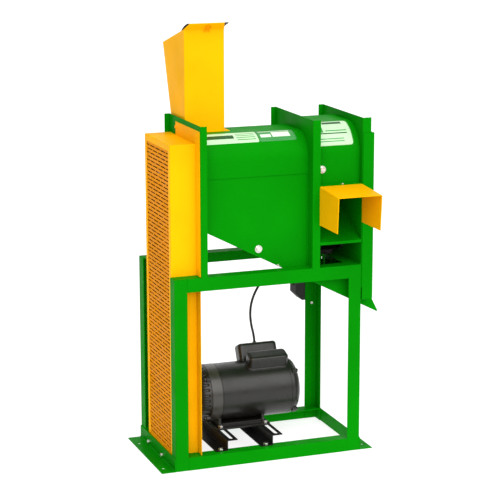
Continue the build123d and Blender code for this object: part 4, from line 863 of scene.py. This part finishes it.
@dataclass(frozen=True)
class Weld:
    """A bead laid along a line: r(s) = r0 (1 + ripple sin(2 pi s / pitch)), half sunk in the joint."""

    start: Point
    end: Point
    radius: float = 1.8
    pitch: float = 2.6
    ripple: float = 0.12
    blunt_end: float = 0.35
    end_length: float = 2.0
    steps: int = 10
    rows_in_pitch: int = 6
    least_rows: int = 8
    upright: float = 0.9

    def surface(self) -> Surface:
        """The bead's surface.

        Returns:
            The bead, with tapered ends.
        """
        start, end = np.array(self.start), np.array(self.end)
        length = float(np.linalg.norm(end - start))
        s = np.linspace(0.0, 1.0, max(self.least_rows, int(length / self.pitch * self.rows_in_pitch)))
        swell = 1.0 + self.ripple * np.sin(FULL_TURN * s * length / self.pitch)
        taper = np.minimum(1.0, np.minimum(s, 1.0 - s) * length / self.end_length + self.blunt_end)
        section = (self.radius * swell * taper)[:, None, None] * circle(around(self.steps))
        up = Facing.UP if abs(end - start)[2] < self.upright * length else Facing.REAR
        return Surface.swept(start + (end - start) * s[:, None], section, up.value)


def beads(name: str, welds: Sequence[Weld], finish: Finish) -> None:
    """Several beads as one piece."""
    piece(name, Surface.merged([weld.surface() for weld in welds]), finish)


# The machine


@dataclass
class MachineFrame:
    """Legs, rails and feet of steel angle, welded at every meeting.

    A bead lies proud of its face. It runs from stop inside an angle's free edge to root short of its outer
    corner, and the one inside a leg's side lies heel in from its outer face and depth under the rail's top.
    """

    half_length: float = 280.0
    front: float = -155.0
    rear: float = 177.0
    height: float = 555.0
    angle: float = 38.0
    wall: float = 3.0
    rounding: float = 0.9
    proud: float = 0.3
    foot_proud: float = 0.2
    stop: float = 2.0
    root: float = 5.0
    heel: float = 3.5
    depth: float = 3.4
    foot_stop: float = 1.0
    foot_bead: tuple[float, float] = (3.0, 36.0)

    def members(self) -> list[str]:
        """The frame's members.

        Returns:
            The names of their CAD nodes.
        """
        legs = [f"{y}_{x}_leg" for y in ("front", "rear") for x in ("left", "right")]
        rails = [f"{y}_{z}_rail" for y in ("front", "rear") for z in ("top", "base")]
        return legs + rails + ["right_top_rail", "left_foot_angle", "right_foot_angle"]

    def seams(self) -> list[Weld]:
        """The beads: along each rail's butt on the leg's edge, inside the leg's side, and on each foot angle.

        Returns:
            A weld for each bead.
        """
        found = []
        edge, foot_top = self.half_length - self.angle, self.angle + self.proud
        for plane, inward in ((self.front, 1.0), (self.rear, -1.0)):
            face = plane + inward * (self.wall + self.proud)
            inner = plane + inward * self.angle
            for x in (-1, 1):
                heel = x * (self.half_length - self.heel)
                side = x * (self.half_length + self.foot_proud)
                foot_edge = inner + inward * self.proud
                for top in (self.height, self.angle):
                    under = top - self.depth
                    found += [Weld((x * edge, face, top - self.angle + self.stop),
                                   (x * edge, face, top - self.root)),
                              Weld((heel, inner - inward * self.stop, under),
                                   (heel, plane + inward * self.root, under))]
                found += [Weld((side, inner - inward * self.foot_stop, foot_top),
                               (side, plane + inward * self.stop, foot_top)),
                          Weld((side, foot_edge, self.foot_bead[0]), (side, foot_edge, self.foot_bead[1]))]
        return found

    def build(self) -> None:
        """Rounds the members' edges and lays the beads."""
        for node in self.members():
            softened(node, Finish.FRAME_GREEN, self.rounding)
        beads("frame_welds", self.seams(), Finish.FRAME_GREEN)


@dataclass
class LabelFilm:
    """A printed film on a hood's round shoulder.

    Its points are (y, z) = centre + r (-sin a, cos a), where a is the angle from the shoulder's top and runs
    along v, carried along X by u.
    """

    name: str
    finish: Finish
    half: float
    top: float
    radius: float
    x_range: tuple[float, float]
    arc_range: tuple[float, float]
    corner: float = 4.0
    lift: float = 0.35
    thickness: float = 0.2

    def build(self) -> None:
        """Lays the film, with its corners rounded by drawing its ends in."""
        u, v = np.linspace(0.0, 1.0, 40)[:, None], np.linspace(0.0, 1.0, 28)
        turn = np.radians(self.arc_range[0] + (self.arc_range[1] - self.arc_range[0]) * v)
        centre = np.array([self.radius - self.half, self.top - self.radius])
        point = centre + (self.radius + self.lift) * np.stack([-np.sin(turn), np.cos(turn)], -1)
        height = float(np.linalg.norm(np.diff(point, axis=0), axis=1).sum())
        past = np.clip(self.corner - np.minimum(v, 1.0 - v) * height, 0.0, None)
        inset = self.corner - np.sqrt(np.clip(self.corner ** 2 - past ** 2, 0.0, None))
        low, high = self.x_range
        x = low + inset + (high - low - 2.0 * inset) * u
        points = np.empty((*x.shape, 3))
        points[..., 0] = x
        points[..., 1:] = point
        surface = Surface.grid(points)
        surface.uv[:, 0] = ((x - low) / (high - low)).ravel()
        thicken = piece(self.name, surface, self.finish, recalc=False).modifiers.new("film", "SOLIDIFY")
        thicken.thickness = self.thickness * MM
        thicken.offset = 0.0


@dataclass
class Housing:
    """The three bulkheads, both hoods, the chute and the cover, all green sheet, with the label films."""

    rounding: float = 0.45
    rounded_above: float = 38.0
    seam_x: float = 129.0
    seam_y: float = 118.9
    seam_z: tuple[float, float] = (560.0, 815.0)
    foot_x: tuple[float, ...] = (-198.6, 129.6, 279.4)
    foot_y: tuple[float, float] = (-153.3, -118.0)
    foot_z: float = 556.0
    seam_bead: float = 1.4
    foot_bead: float = 1.6

    def films(self) -> None:
        """Two films on the left hood and one on the right."""
        left = {"half": 118.5, "top": 937.0, "radius": 70.0, "arc_range": (46.0, 3.0)}
        LabelFilm("hood_film_pale", Finish.PALE_FILM, x_range=(-193.0, -8.0), **left).build()
        LabelFilm("hood_film_green", Finish.GREEN_FILM, x_range=(-6.0, 104.0), **left).build()
        LabelFilm("side_hood_film", Finish.SIDE_FILM, half=136.0, top=957.0, radius=85.0,
                  x_range=(136.0, 262.0), arc_range=(72.0, 9.0), corner=6.0).build()

    def build(self) -> None:
        """Rounds the sheets' edges, lays films and welds."""
        for node in ("left_bulkhead", "middle_bulkhead", "right_bulkhead", "shelling_hood", "cob_hood",
                     "grain_chute", "cob_shelf", "fan_belt_cover"):
            softened(node, Finish.GREEN, self.rounding, self.rounded_above)
        dressed(Finish.STEEL, "shelling_grate")
        self.films()
        low, high = self.seam_z
        front, rear = self.foot_y
        welds = [Weld((self.seam_x, y, low), (self.seam_x, y, high), self.seam_bead)
                 for y in (-self.seam_y, self.seam_y)]
        welds += [Weld((x, front, self.foot_z), (x, rear, self.foot_z), self.foot_bead) for x in self.foot_x]
        beads("housing_welds", welds, Finish.GREEN)


@dataclass
class FeedHopper:
    """The yellow hopper with its rubber flap over the mouth's front."""

    middle: float = -129.5
    half_width: float = 64.5
    fold_y: float = -1.5
    edge_y: float = -25.5
    lip_low: float = 1200.0
    lip_rise: float = 24.0
    taper: float = 9.5
    flap_trim: tuple[float, float] = (9.0, 2.0)
    ring_centre: Point = (-129.0, -15.4, 1229.0)
    ring_radius: float = 7.6
    wire: float = 1.3
    ring_steps: int = 40
    wire_steps: int = 10
    foot_x: tuple[float, float] = (-194.0, -76.0)
    foot_arc: tuple[float, float] = (53.0, 75.0)
    foot_centre: tuple[float, float] = (48.5, 867.0)
    foot_radii: tuple[float, float] = (70.15, 71.75)

    def lip_shift(self, points: Array) -> Array:
        """Draws the lip's ends in: x moves to the middle by taper t, from 0 at the fold to 1 at the edge.

        Args:
            points: the hopper's points.

        Returns:
            Each point's move along X.
        """
        x, y, z = points.T
        share = np.clip((self.fold_y - y) / (self.fold_y - self.edge_y), 0.0, 1.0) * (z > self.lip_low)
        return (self.middle - x) * share * self.taper / self.half_width

    def flap_shift(self, points: Array) -> Array:
        """Cuts the flap's left end back and lets its right end out: x moves by a blend of both."""
        x = points[:, 0]
        return np.interp(x, (x.min(), x.max()), self.flap_trim)

    def ring(self) -> Surface:
        """A wire ring that lies on the lip's outer face: a circle carried round a circle.

        Returns:
            The ring.
        """
        slope = unit(np.array([0.0, self.edge_y - self.fold_y, self.lip_rise]))
        across = np.array(Facing.RIGHT.value)
        turns = circle(around(self.ring_steps)) @ np.stack([across, slope])
        return Surface.swept(np.array(self.ring_centre) + self.ring_radius * turns,
                             self.wire * circle(around(self.wire_steps)), np.cross(slope, across),
                             closed_path=True)

    def rear_foot(self) -> Surface:
        """The flange behind the hopper, bent to the hood.

        Its section follows (y, z) = centre + r (sin a, cos a) at both radii, and is carried along X.

        Returns:
            The flange.
        """
        arc = circle(np.radians(np.linspace(*self.foot_arc, 15)))[:, ::-1]
        inner, outer = (np.array(self.foot_centre) + radius * arc for radius in self.foot_radii)
        loop = np.concatenate([inner, outer[::-1]])
        points = np.empty((3, len(loop), 3))
        points[..., 0] = np.linspace(*self.foot_x, 3)[:, None]
        points[..., 1:] = loop
        return Surface.grid(capped(points), wrap_columns=True)

    def build(self) -> None:
        """Makes the hopper's edges, its ring, its rear foot and the flap."""
        shifted(softened("hopper", Finish.YELLOW, rounding=0.4, angle=38.0), self.lip_shift)
        # The ring takes the darker yellow as painted shade for its dark outline on the lip.
        piece("lip_ring", self.ring(), Finish.SHADED_YELLOW)
        piece("hopper_rear_foot", self.rear_foot(), Finish.YELLOW)
        shifted(softened("hopper_flap", Finish.RUBBER, rounding=0.5, angle=40.0), self.flap_shift)


@dataclass
class ExpandedMesh:
    """Expanded and flattened steel sheet: level strands that meet at bonds.

    Strand k runs level at z0 + k p. Its upper edge lies at s / 2 + (p / 2 - s / 2) b(y - k L / 2) over
    that line and its lower edge as far under it by b(y - (k - 1) L / 2), where b is 1 at each bond and
    falls to 0 beside it, so the openings are long hexagons, staggered from row to row.
    """

    pitch: float = 11.0
    long_way: float = 48.0
    strand: float = 7.4
    bond: float = 2.0
    slope: float = 2.0
    gauge: float = 1.1
    clear: float = 0.2

    def bonds(self, y: Array) -> Array:
        """1 within a bond's half length of each multiple of the long way, and a straight fall beside it."""
        distance = np.abs((y + self.long_way / 2) % self.long_way - self.long_way / 2)
        return np.clip(1.0 - (distance - self.bond) / self.slope, 0.0, 1.0)

    def stations(self, low: float, high: float) -> Array:
        """Places along the sheet where some strand's edge turns.

        Args:
            low: the sheet's lower end.
            high: the sheet's upper end.

        Returns:
            The places in order, between the sheet's two ends.
        """
        half, outer = self.long_way / 2, self.bond + self.slope
        middles = np.arange(math.floor(low / half), math.ceil(high / half) + 1) * half
        places = (middles[:, None] + np.array([-outer, -self.bond, self.bond, outer])).ravel()
        inside = (places > low + self.clear) & (places < high - self.clear)
        return np.concatenate([[low], places[inside], [high]])

    def build(self) -> None:
        """Lays every strand inside the CAD mesh's box."""
        low, high = (np.array(corner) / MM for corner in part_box("belt_guard_mesh"))
        rows = int((high[2] - low[2]) // self.pitch)
        y = self.stations(low[1], high[1])
        k = np.arange(rows)[:, None]
        middle = (low[2] + high[2] - (rows - 1) * self.pitch) / 2 + k * self.pitch
        reach = (self.pitch - self.strand) / 2
        top = middle + self.strand / 2 + reach * self.bonds(y - k * self.long_way / 2)
        bottom = middle - self.strand / 2 - reach * self.bonds(y - (k - 1) * self.long_way / 2)
        points = np.empty((rows, len(y), 4, 3))
        points[..., 0] = (low[0] + high[0]) / 2 + np.array([-0.5, 0.5, 0.5, -0.5]) * self.gauge
        points[..., 1] = y[:, None]
        points[..., 2] = np.clip(np.stack([bottom, bottom, top, top], -1), low[2], high[2])
        strands = [Surface.grid(capped(row), wrap_columns=True) for row in points]
        # The strands take the darker yellow as painted shade for the dark openings between them.
        shape = piece("guard_expanded_mesh", Surface.merged(strands), Finish.SHADED_YELLOW, "belt_guard_mesh")
        shape.data.polygons.foreach_set("use_smooth", [False] * len(shape.data.polygons))


@dataclass
class BeltGuard:
    """The yellow guard over the main belts."""

    box_rounding: float = 0.7
    plate_rounding: float = 0.35

    def build(self) -> None:
        """Rounds the box and the back plate, and lays the expanded mesh."""
        softened("belt_guard_box", Finish.YELLOW, self.box_rounding)
        softened("belt_guard_back_plate", Finish.YELLOW, self.plate_rounding)
        ExpandedMesh().build()


@dataclass
class Drive:
    """Rotor, fan, pulleys, belts and bearings."""

    pulley_rounding: float = 0.5
    bearing_rounding: float = 0.9

    def build(self) -> None:
        """Dresses the turned and cast pieces."""
        dressed(Finish.STEEL, "rotor_shaft", "shelling_drum", "cob_ejector", "fan_shaft", "motor_shaft")
        dressed(Finish.SCALE, "fan_wheel")
        for node in ("rotor_pulley", "fan_drive_pulley", "motor_pulley", "fan_pulley"):
            softened(node, Finish.IRON, self.pulley_rounding, angle=30.0)
        for node in ("left_rotor_bearing", "right_rotor_bearing", "fan_bearings"):
            softened(node, Finish.IRON, self.bearing_rounding, angle=40.0)
        dressed(Finish.RUBBER, "main_belts", "fan_belt")


@dataclass
class CapacitorCover:
    """A drawn cover on the shell: straight walls, round corners, a rolled crown and a lip on the shell.

    Its outline at inset i is the rectangle with half sides a - i and b - i and corners of radius c - i. The
    walls rise from the lip to the crown, where inset and height follow a quarter of a circle. The lip is
    given as pairs of inset and lift off the shell.
    """

    node: str
    middle: float
    turn: float
    height: float
    length: float = 120.0
    width: float = 46.0
    corner: float = 12.0
    least_corner: float = 1.5
    crown: float = 9.0
    shell: float = 84.0
    lip: tuple[tuple[float, float], ...] = ((-4.0, -1.5), (-4.0, 0.9), (-3.5, 1.4), (-0.8, 1.5), (0.0, 2.3))
    wall_foot: float = 2.5
    top_inset: float = 2.0
    hollow: float = 6.0

    def outline(self, inset: float) -> Array:
        """The outline at an inset: four arcs and the points between them.

        Args:
            inset: how far the outline is drawn in from the wall.

        Returns:
            Rows of (x, y).
        """
        corner = max(self.corner - inset, self.least_corner)
        reach = np.array([self.length, self.width]) / 2 - inset - corner
        turn = np.linspace(0.0, QUARTER_TURN, 9) + np.arange(4)[:, None] * QUARTER_TURN
        centre = np.array([(1, 1), (-1, 1), (-1, -1), (1, -1)]) * reach
        arcs = centre[:, None] + corner * circle(turn)
        leg = np.roll(arcs[:, 0], -1, axis=0) - arcs[:, -1]
        edges = arcs[:, -1:] + leg[:, None] * np.linspace(0.0, 1.0, 9)[1:-1, None]
        return np.concatenate([arcs, edges], axis=1).reshape(-1, 2)

    def over_shell(self, inset: float, lift: float) -> Array:
        """The outline laid on the shell and lifted off it."""
        flat = self.outline(inset)
        return np.column_stack([flat, np.sqrt((self.shell + lift) ** 2 - flat[:, 1] ** 2)])

    def level(self, inset: float, height: float) -> Array:
        """The outline on a level over the shell's top line."""
        flat = self.outline(inset)
        return np.column_stack([flat, np.full(len(flat), self.shell + height)])

    def build(self) -> None:
        """Makes the cover with its lip."""
        straight = self.height - self.crown
        rows = [self.over_shell(*pair) for pair in self.lip]
        rows += [self.level(0.0, height) for height in np.linspace(self.wall_foot, straight, 6)]
        rows += [self.level(self.crown * (1.0 - math.cos(t)), straight + self.crown * math.sin(t))
                 for t in np.linspace(0.0, QUARTER_TURN, 9)[1:]]
        rows.append(self.level(self.crown + self.top_inset, self.height))
        points = capped(np.stack(rows))
        points[0, :, 2] -= self.hollow
        x, y, z = np.moveaxis(points, -1, 0)
        sine, cosine = math.sin(math.radians(self.turn)), math.cos(math.radians(self.turn))
        surface = Surface.grid(np.stack([x, y * cosine - z * sine, y * sine + z * cosine], -1),
                               wrap_columns=True)
        piece(f"{self.node}_drawn", surface.moved(MOTOR_AXIS).moved((self.middle, 0.0, 0.0)), Finish.MOTOR,
              self.node)


@dataclass
class EndBell:
    """A cast end bell with cooling slots and four ears for the through bolts.

    Its radius at x and a is profile(x) - slot(x) wave(a) + ear(x) bump(a): the wave runs round the bell once
    for each slot, and the bump stands at 45 degrees in each quarter.
    """

    node: str
    rim: float
    end: float
    slots: int = 0
    slot_depth: float = 3.2
    slot_range: tuple[float, float] = (0.10, 0.70)
    slot_fade: float = 0.06
    slot_edge: float = 1.6
    ear_height: float = 6.5
    ear_length: float = 13.0
    ear_round: float = 1.5
    ear_half_angle: float = 0.105
    ear_flank: float = 0.03
    nut: tuple[float, float] = (5.6, 4.5)
    nut_sink: tuple[float, float] = (0.6, 0.5)
    radius: float = 83.0
    wall: float = 4.0
    nose: float = 26.0
    bore: float = 9.8
    spigot: float = 5.0
    dome_rows: int = 33
    dome_turn: float = 72.0
    dome_share: float = 0.8
    dome_drop: float = 0.45
    dome_power: float = 0.75
    nose_share: float = 0.84
    steps: int = 384

    def profile(self, depth: float) -> Array:
        """The outline round the bell's whole section.

        Args:
            depth: the bell's length, from its rim to its end.

        Returns:
            Rows of (share of depth from the rim, radius).
        """
        turn = np.radians(np.linspace(0.0, self.dome_turn, self.dome_rows))
        fall = self.dome_drop * (1.0 - np.cos(turn) ** self.dome_power)
        dome = np.column_stack([self.dome_share * np.sin(turn), self.radius * (1.0 - fall)])
        inner, back = self.radius - self.wall, -self.spigot / depth
        rest = [(self.nose_share, self.nose + 1), (1.0 - 1.0 / depth, self.nose), (1.0, self.nose - 1),
                (1.0, self.bore), (back, self.bore), (back, inner), (0.0, inner)]
        return np.concatenate([dome, rest])

    def build(self) -> None:
        """Makes the bell with a nut on each ear."""
        side, depth = math.copysign(1.0, self.end - self.rim), abs(self.end - self.rim)
        outline = self.profile(depth)
        share, radius = outline[:, :1], outline[:, 1:]
        outer = np.arange(len(outline))[:, None] < self.dome_rows
        angle = around(self.steps)[None]
        first, last = self.slot_range
        window = (np.clip((share - first) / self.slot_fade, 0, 1) * outer
                  * np.clip((last - share) / self.slot_fade, 0, 1))
        wave = np.clip(self.slot_edge * np.cos(self.slots * angle), 0.0, 1.0) * bool(self.slots)
        from_ear = np.abs(angle % QUARTER_TURN - QUARTER_TURN / 2)
        bump = np.clip((self.ear_half_angle - from_ear) / self.ear_flank, 0.0, 1.0)
        ear = np.clip((self.ear_length - share * depth) / self.ear_round, 0.0, 1.0) * outer
        grown = radius + (self.radius + self.ear_height - radius) * ear * bump
        r = grown - self.slot_depth * window * wave * (1.0 - bump)
        parts = [Surface.turned(self.rim + side * depth * share, r, angle, wrap_rows=True)]
        length_sink, radius_sink = self.nut_sink
        for y, z in (self.radius - radius_sink) * circle(QUARTER_TURN * (np.arange(4) + 0.5)):
            seat = (self.rim + side * (self.ear_length - length_sink), y, z)
            parts.append(HexBolt(*self.nut).at(seat, Facing.RIGHT if side > 0 else Facing.LEFT))
        piece(f"{self.node}_cast", Surface.merged(parts).moved(MOTOR_AXIS), Finish.MOTOR, self.node)


@dataclass
class ElectricMotor:
    """The black motor: shell with its end rings, cast bells, capacitor covers and foot."""

    radius: float = 84.0
    left: float = -135.0
    right: float = 119.0
    band: float = 34.0
    end_ring: float = 8.0
    groove: float = 0.9
    groove_half: float = 1.0
    flank: float = 0.6
    barrel_drop: float = 0.3
    chamfer: float = 0.6
    wall: float = 4.0
    sleeve_ends: tuple[float, float] = (1.2, 2.4)
    sleeve_rise: float = 0.5
    sleeve_sink: float = 1.0
    sleeve_edge: float = 0.4
    steps: int = 128

    def shell(self) -> None:
        """The rolled shell: a band at the drive end, a shallow groove, and a rolled ring at the other end."""
        r, low, barrel = self.radius, self.radius - self.groove, self.radius - self.barrel_drop
        inner, rim, chamfer = r - self.wall, r - self.chamfer, self.chamfer
        near, far = self.groove_half, self.groove_half + self.flank
        a, b = self.left + self.band, self.right - self.end_ring
        shell = Surface.revolved([
            (self.left, inner), (self.left, rim), (self.left + chamfer, r), (a - far, r), (a - near, low),
            (a + near, low), (a + far, barrel), (b - far, barrel), (b - near, low), (b + near, low),
            (b + far, r), (self.right - chamfer, r), (self.right, rim), (self.right, inner),
            (self.left, inner)], self.steps)
        piece("motor_shell_rolled", shell.moved(MOTOR_AXIS), Finish.MOTOR, "motor_shell")
        first, last = self.left + self.sleeve_ends[0], a - self.sleeve_ends[1]
        foot, crown = r - self.sleeve_sink, r + self.sleeve_rise
        shoulder, edge = crown - self.sleeve_edge, self.sleeve_edge
        sleeve = Surface.revolved([
            (first, foot), (first, shoulder), (first + edge, crown), (last - edge, crown),
            (last, shoulder), (last, foot), (first, foot)], self.steps)
        # The sleeve's lighter tone is painted highlight for the band's sheen.
        piece("motor_band", sleeve.moved(MOTOR_AXIS), Finish.MOTOR_BAND_HIGHLIGHT)

    def build(self) -> None:
        """Makes the motor."""
        self.shell()
        EndBell("motor_drive_bell", rim=self.left, end=-188.0, slots=32).build()
        EndBell("motor_rear_bell", rim=self.right, end=150.0).build()
        softened("motor_foot", Finish.MOTOR, rounding=1.2, angle=30.0)
        CapacitorCover("front_capacitor_cover", middle=51.5, turn=18.0, height=34.0).build()
        CapacitorCover("rear_capacitor_cover", middle=46.0, turn=-25.0, height=48.0).build()
        dressed(Finish.PLASTIC, "motor_cable_gland")


@dataclass
class SlideRails:
    """The two black Z-section rails under the motor."""

    rounding: float = 0.6

    def build(self) -> None:
        """Rounds the pressed edges."""
        for side in ("left", "right"):
            softened(f"{side}_slide_rail", Finish.SLIDE, self.rounding)


@dataclass
class SwitchAndCable:
    """The switch box behind the rear leg and the cable to it."""

    diameter: float = 7.0
    length: float = 330.9
    route: tuple[Point, ...] = (
        (48.0, 95.6, 284.7), (48.3, 101.6, 303.8), (42.0, 105.1, 331.1), (38.5, 107.1, 365.8),
        (43.5, 110.2, 400.8), (60.5, 117.2, 434.9), (91.5, 133.2, 464.9), (126.5, 152.3, 480.0),
        (155.5, 168.3, 475.0), (176.5, 180.4, 460.1), (193.5, 190.4, 444.1))
    lid_corners: tuple[tuple[float, float], ...] = (
        (273.0, 462.0), (217.0, 462.0), (217.0, 398.1), (235.1, 380.0), (273.0, 380.0))
    lid_screws: tuple[tuple[float, float], ...] = (
        (266.0, 455.0), (224.0, 455.0), (229.0, 399.0), (266.0, 387.0))
    screw_size: tuple[float, float] = (3.2, 1.7)
    screw_sink: float = 0.2
    lid_y: float = 227.0
    lid_rounding: float = 6.0
    knob: Point = (245.0, 227.0, 421.0)
    mark_range: tuple[float, float] = (20.0, 24.5)

    def cable(self) -> None:
        """The cable on one smooth curve, held at both ends."""
        curve = bpy.data.curves.new("motor_cable_lead", "CURVE")
        curve.dimensions = "3D"
        spline = curve.splines.new("NURBS")
        spline.points.add(len(self.route) - 1)
        for point, place in zip(spline.points, self.route):
            point.co = (*(MM * c for c in place), 1.0)
        spline.order_u = 3
        spline.use_endpoint_u = True
        spline.resolution_u = 10
        curve.bevel_depth = self.diameter / 2 * MM
        curve.bevel_resolution = 6
        curve.use_fill_caps = True
        lead = placed("motor_cable_lead", curve)
        mounted(lead, Finish.RUBBER, "frame", ["motor_cable"])

    def lid(self) -> None:
        """The lid's raised rim, its screws and two plain marks beside the knob.

        The rim is a section carried round the lid's corners P, each drawn round as the parabola
        P + (1 - t)^2 u d + t^2 v d, where u and v point along its two sides.
        """
        corners = np.array(self.lid_corners)
        u, v = (unit(np.roll(corners, step, axis=0) - corners)[:, None] * self.lid_rounding
                for step in (1, -1))
        t = np.linspace(0.0, 1.0, 9)[:, None]
        flat = (corners[:, None] + (1.0 - t) ** 2 * u + t ** 2 * v).reshape(-1, 2)
        path = np.insert(flat, 1, self.lid_y, axis=1)
        rise = Facing.REAR.value
        section = np.array([(-1.1, -0.6), (1.1, -0.6), (1.1, 0.5), (0.6, 0.9), (-0.6, 0.9), (-1.1, 0.5)])
        piece("switch_lid_rim", Surface.swept(path, section, rise, closed_path=True), Finish.PLASTIC)
        screw = DomedScrew(*self.screw_size)
        heads = [screw.at((x, self.lid_y - self.screw_sink, z), Facing.REAR) for x, z in self.lid_screws]
        piece("switch_lid_screws", Surface.merged(heads), Finish.ZINC)
        bar = np.array([(-0.8, -0.5), (0.8, -0.5), (0.8, 0.35), (-0.8, 0.35)])
        reach = np.linspace(*self.mark_range, 4)[:, None]
        marks = [Surface.swept(np.array(self.knob) + np.array(way.value) * reach, bar, rise)
                 for way in (Facing.UP, Facing.RIGHT)]
        piece("switch_marks", Surface.merged(marks), Finish.MARK)

    def build(self) -> None:
        """Makes the box with its lid, its knob, its gland and the cable."""
        softened("switch_box", Finish.PLASTIC, rounding=1.0, angle=30.0)
        softened("switch_knob", Finish.PLASTIC, rounding=0.6, angle=30.0)
        dressed(Finish.PLASTIC, "switch_cable_gland")
        self.lid()
        self.cable()


@dataclass
class Outlets:
    """The yellow cob spout."""

    rounding: float = 0.5

    def build(self) -> None:
        """Rounds the folded edges."""
        softened("cob_spout", Finish.YELLOW, self.rounding)


@dataclass
class Fasteners:
    """Every group of bolts and screws."""

    chute_bolt: Point = (39.5, -116.3, 564.0)
    box_bolt: Point = (262.0, 174.2, 366.0)

    def hopper_screws(self) -> None:
        """Painted round heads: two on the front wall under the lip and two on the foot flange."""
        heads = []
        for low, high in islands("hopper_screws"):
            size, middle = high - low, (low + high) / 2
            facing = Facing.FRONT if size[1] < size[2] else Facing.UP
            middle[facing.axis] = high[1] if facing is Facing.FRONT else low[2]
            heads.append(DomedScrew(max(size) / 2, size[facing.axis]).at(middle, facing))
        piece("hopper_screws_worked", Surface.merged(heads), Finish.YELLOW, "hopper_screws")

    def small_bolts(self) -> None:
        """The two small bolts that stand alone: at the chute's foot and under the switch box."""
        parts = [HexBolt(radius=4.2, height=3.2).at(self.chute_bolt, Facing.FRONT),
                 HexBolt(radius=4.6, height=3.4).at(self.box_bolt, Facing.FRONT)]
        piece("small_bolts", Surface.merged(parts), Finish.ZINC)

    def build(self) -> None:
        """Makes each group from its CAD heads."""
        up, left = {-1: Facing.UP}, {-1: Facing.LEFT}
        FastenerSet("chamber_bolts", {2: Facing.UP, -1: Facing.FRONT}, washers=(11.0, 11.0, 0.0)).build()
        FastenerSet("slide_rail_bolts", up).build()
        FastenerSet("motor_foot_bolts", up).build()
        FastenerSet("guard_bolts", left, only=(0, 1), part="foot").build()
        FastenerSet("guard_bolts", left, only=(2, 3), part="plate", finish=Finish.YELLOW).build()
        FastenerSet("bearing_bolts", left).build()
        self.hopper_screws()
        self.small_bolts()


@dataclass
class Studio:
    """A pale floor, soft light and the camera at the photograph's place."""

    place: Point = (-1755.05, -4741.38, 1722.22)
    yaw: float = 0.3544
    pitch: float = 0.2210
    roll: float = 0.0014
    focal_pixels: float = 1804.17
    image_side: int = 500
    sensor: float = 36.0
    far_clip: float = 60.0
    suns: tuple[tuple[str, Point, float, float], ...] = (
        ("front_sun", (-0.14, -0.82, 0.86), 3.3, 80.0), ("rear_sun", (0.55, 0.75, 0.60), 0.7, 60.0))
    sky: float = 0.36
    floor_glow: float = 0.80
    floor_tones: tuple[float, float] = (0.34, 0.37)
    floor_radii: tuple[float, ...] = (0.0, 2000.0, 8000.0, 30000.0)

    def camera(self) -> None:
        """The camera: forward is (sin yaw cos pitch, cos yaw cos pitch, -sin pitch)."""
        data = bpy.data.cameras.new("camera")
        data.sensor_width = self.sensor
        data.lens = self.focal_pixels / self.image_side * self.sensor
        data.clip_end = self.far_clip
        shape = placed("camera", data)
        shape.location = [MM * c for c in self.place]
        forward = Vector((math.sin(self.yaw) * math.cos(self.pitch),
                          math.cos(self.yaw) * math.cos(self.pitch), -math.sin(self.pitch)))
        shape.rotation_mode = "QUATERNION"
        shape.rotation_quaternion = Quaternion(forward, self.roll) @ forward.to_track_quat("-Z", "Y")
        bpy.context.scene.camera = shape

    def lights(self) -> None:
        """A broad soft sun from the front, a weak one from behind, and a white sky."""
        for name, toward, strength, spread in self.suns:
            data = bpy.data.lights.new(name, "SUN")
            data.energy = strength
            data.angle = math.radians(spread)
            shape = placed(name, data)
            shape.rotation_mode = "QUATERNION"
            shape.rotation_quaternion = Vector(toward).to_track_quat("Z", "Y")
        world = bpy.data.worlds.new("studio")
        world.use_nodes = True
        background = world.node_tree.nodes["Background"]
        background.inputs["Color"].default_value = (1.0, 1.0, 1.0, 1.0)
        background.inputs["Strength"].default_value = self.sky
        bpy.context.scene.world = world
        bpy.context.scene.view_settings.view_transform = "Standard"

    def floor(self) -> None:
        """A round pale floor with a faint glow, as a lit table has: points at (r cos a, r sin a)."""
        flat = np.array(self.floor_radii)[:, None, None] * circle(around(64))
        surface = Surface.grid(np.insert(flat, 2, 0.0, axis=-1), wrap_columns=True)
        mesh = bpy.data.meshes.new("floor")
        mesh.from_pydata((surface.points * MM).tolist(), [], surface.quads[:, ::-1].tolist())
        shader = Shader("pale_floor")
        low, high = ((tone,) * 3 for tone in self.floor_tones)
        shader.set(Roughness=0.8, Emission_Color=(1.0, 1.0, 1.0), Emission_Strength=self.floor_glow,
                   Base_Color=shader.blend(shader.noise(Grain(scale=0.7)), low, high))
        mesh.materials.append(shader.material)
        placed("floor", mesh)

    def build(self) -> None:
        """Sets the stage."""
        self.camera()
        self.lights()
        self.floor()


def main() -> None:
    """Sets the stage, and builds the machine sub-assembly by sub-assembly."""
    logging.basicConfig(level=logging.INFO, format="%(message)s")
    for part in (Studio, SwitchAndCable, MachineFrame, Housing, FeedHopper, BeltGuard, Outlets, Drive,
                 ElectricMotor, SlideRails, Fasteners):
        log.info("building %s", part.__name__)
        part().build()


if __name__ == "__main__":
    main()
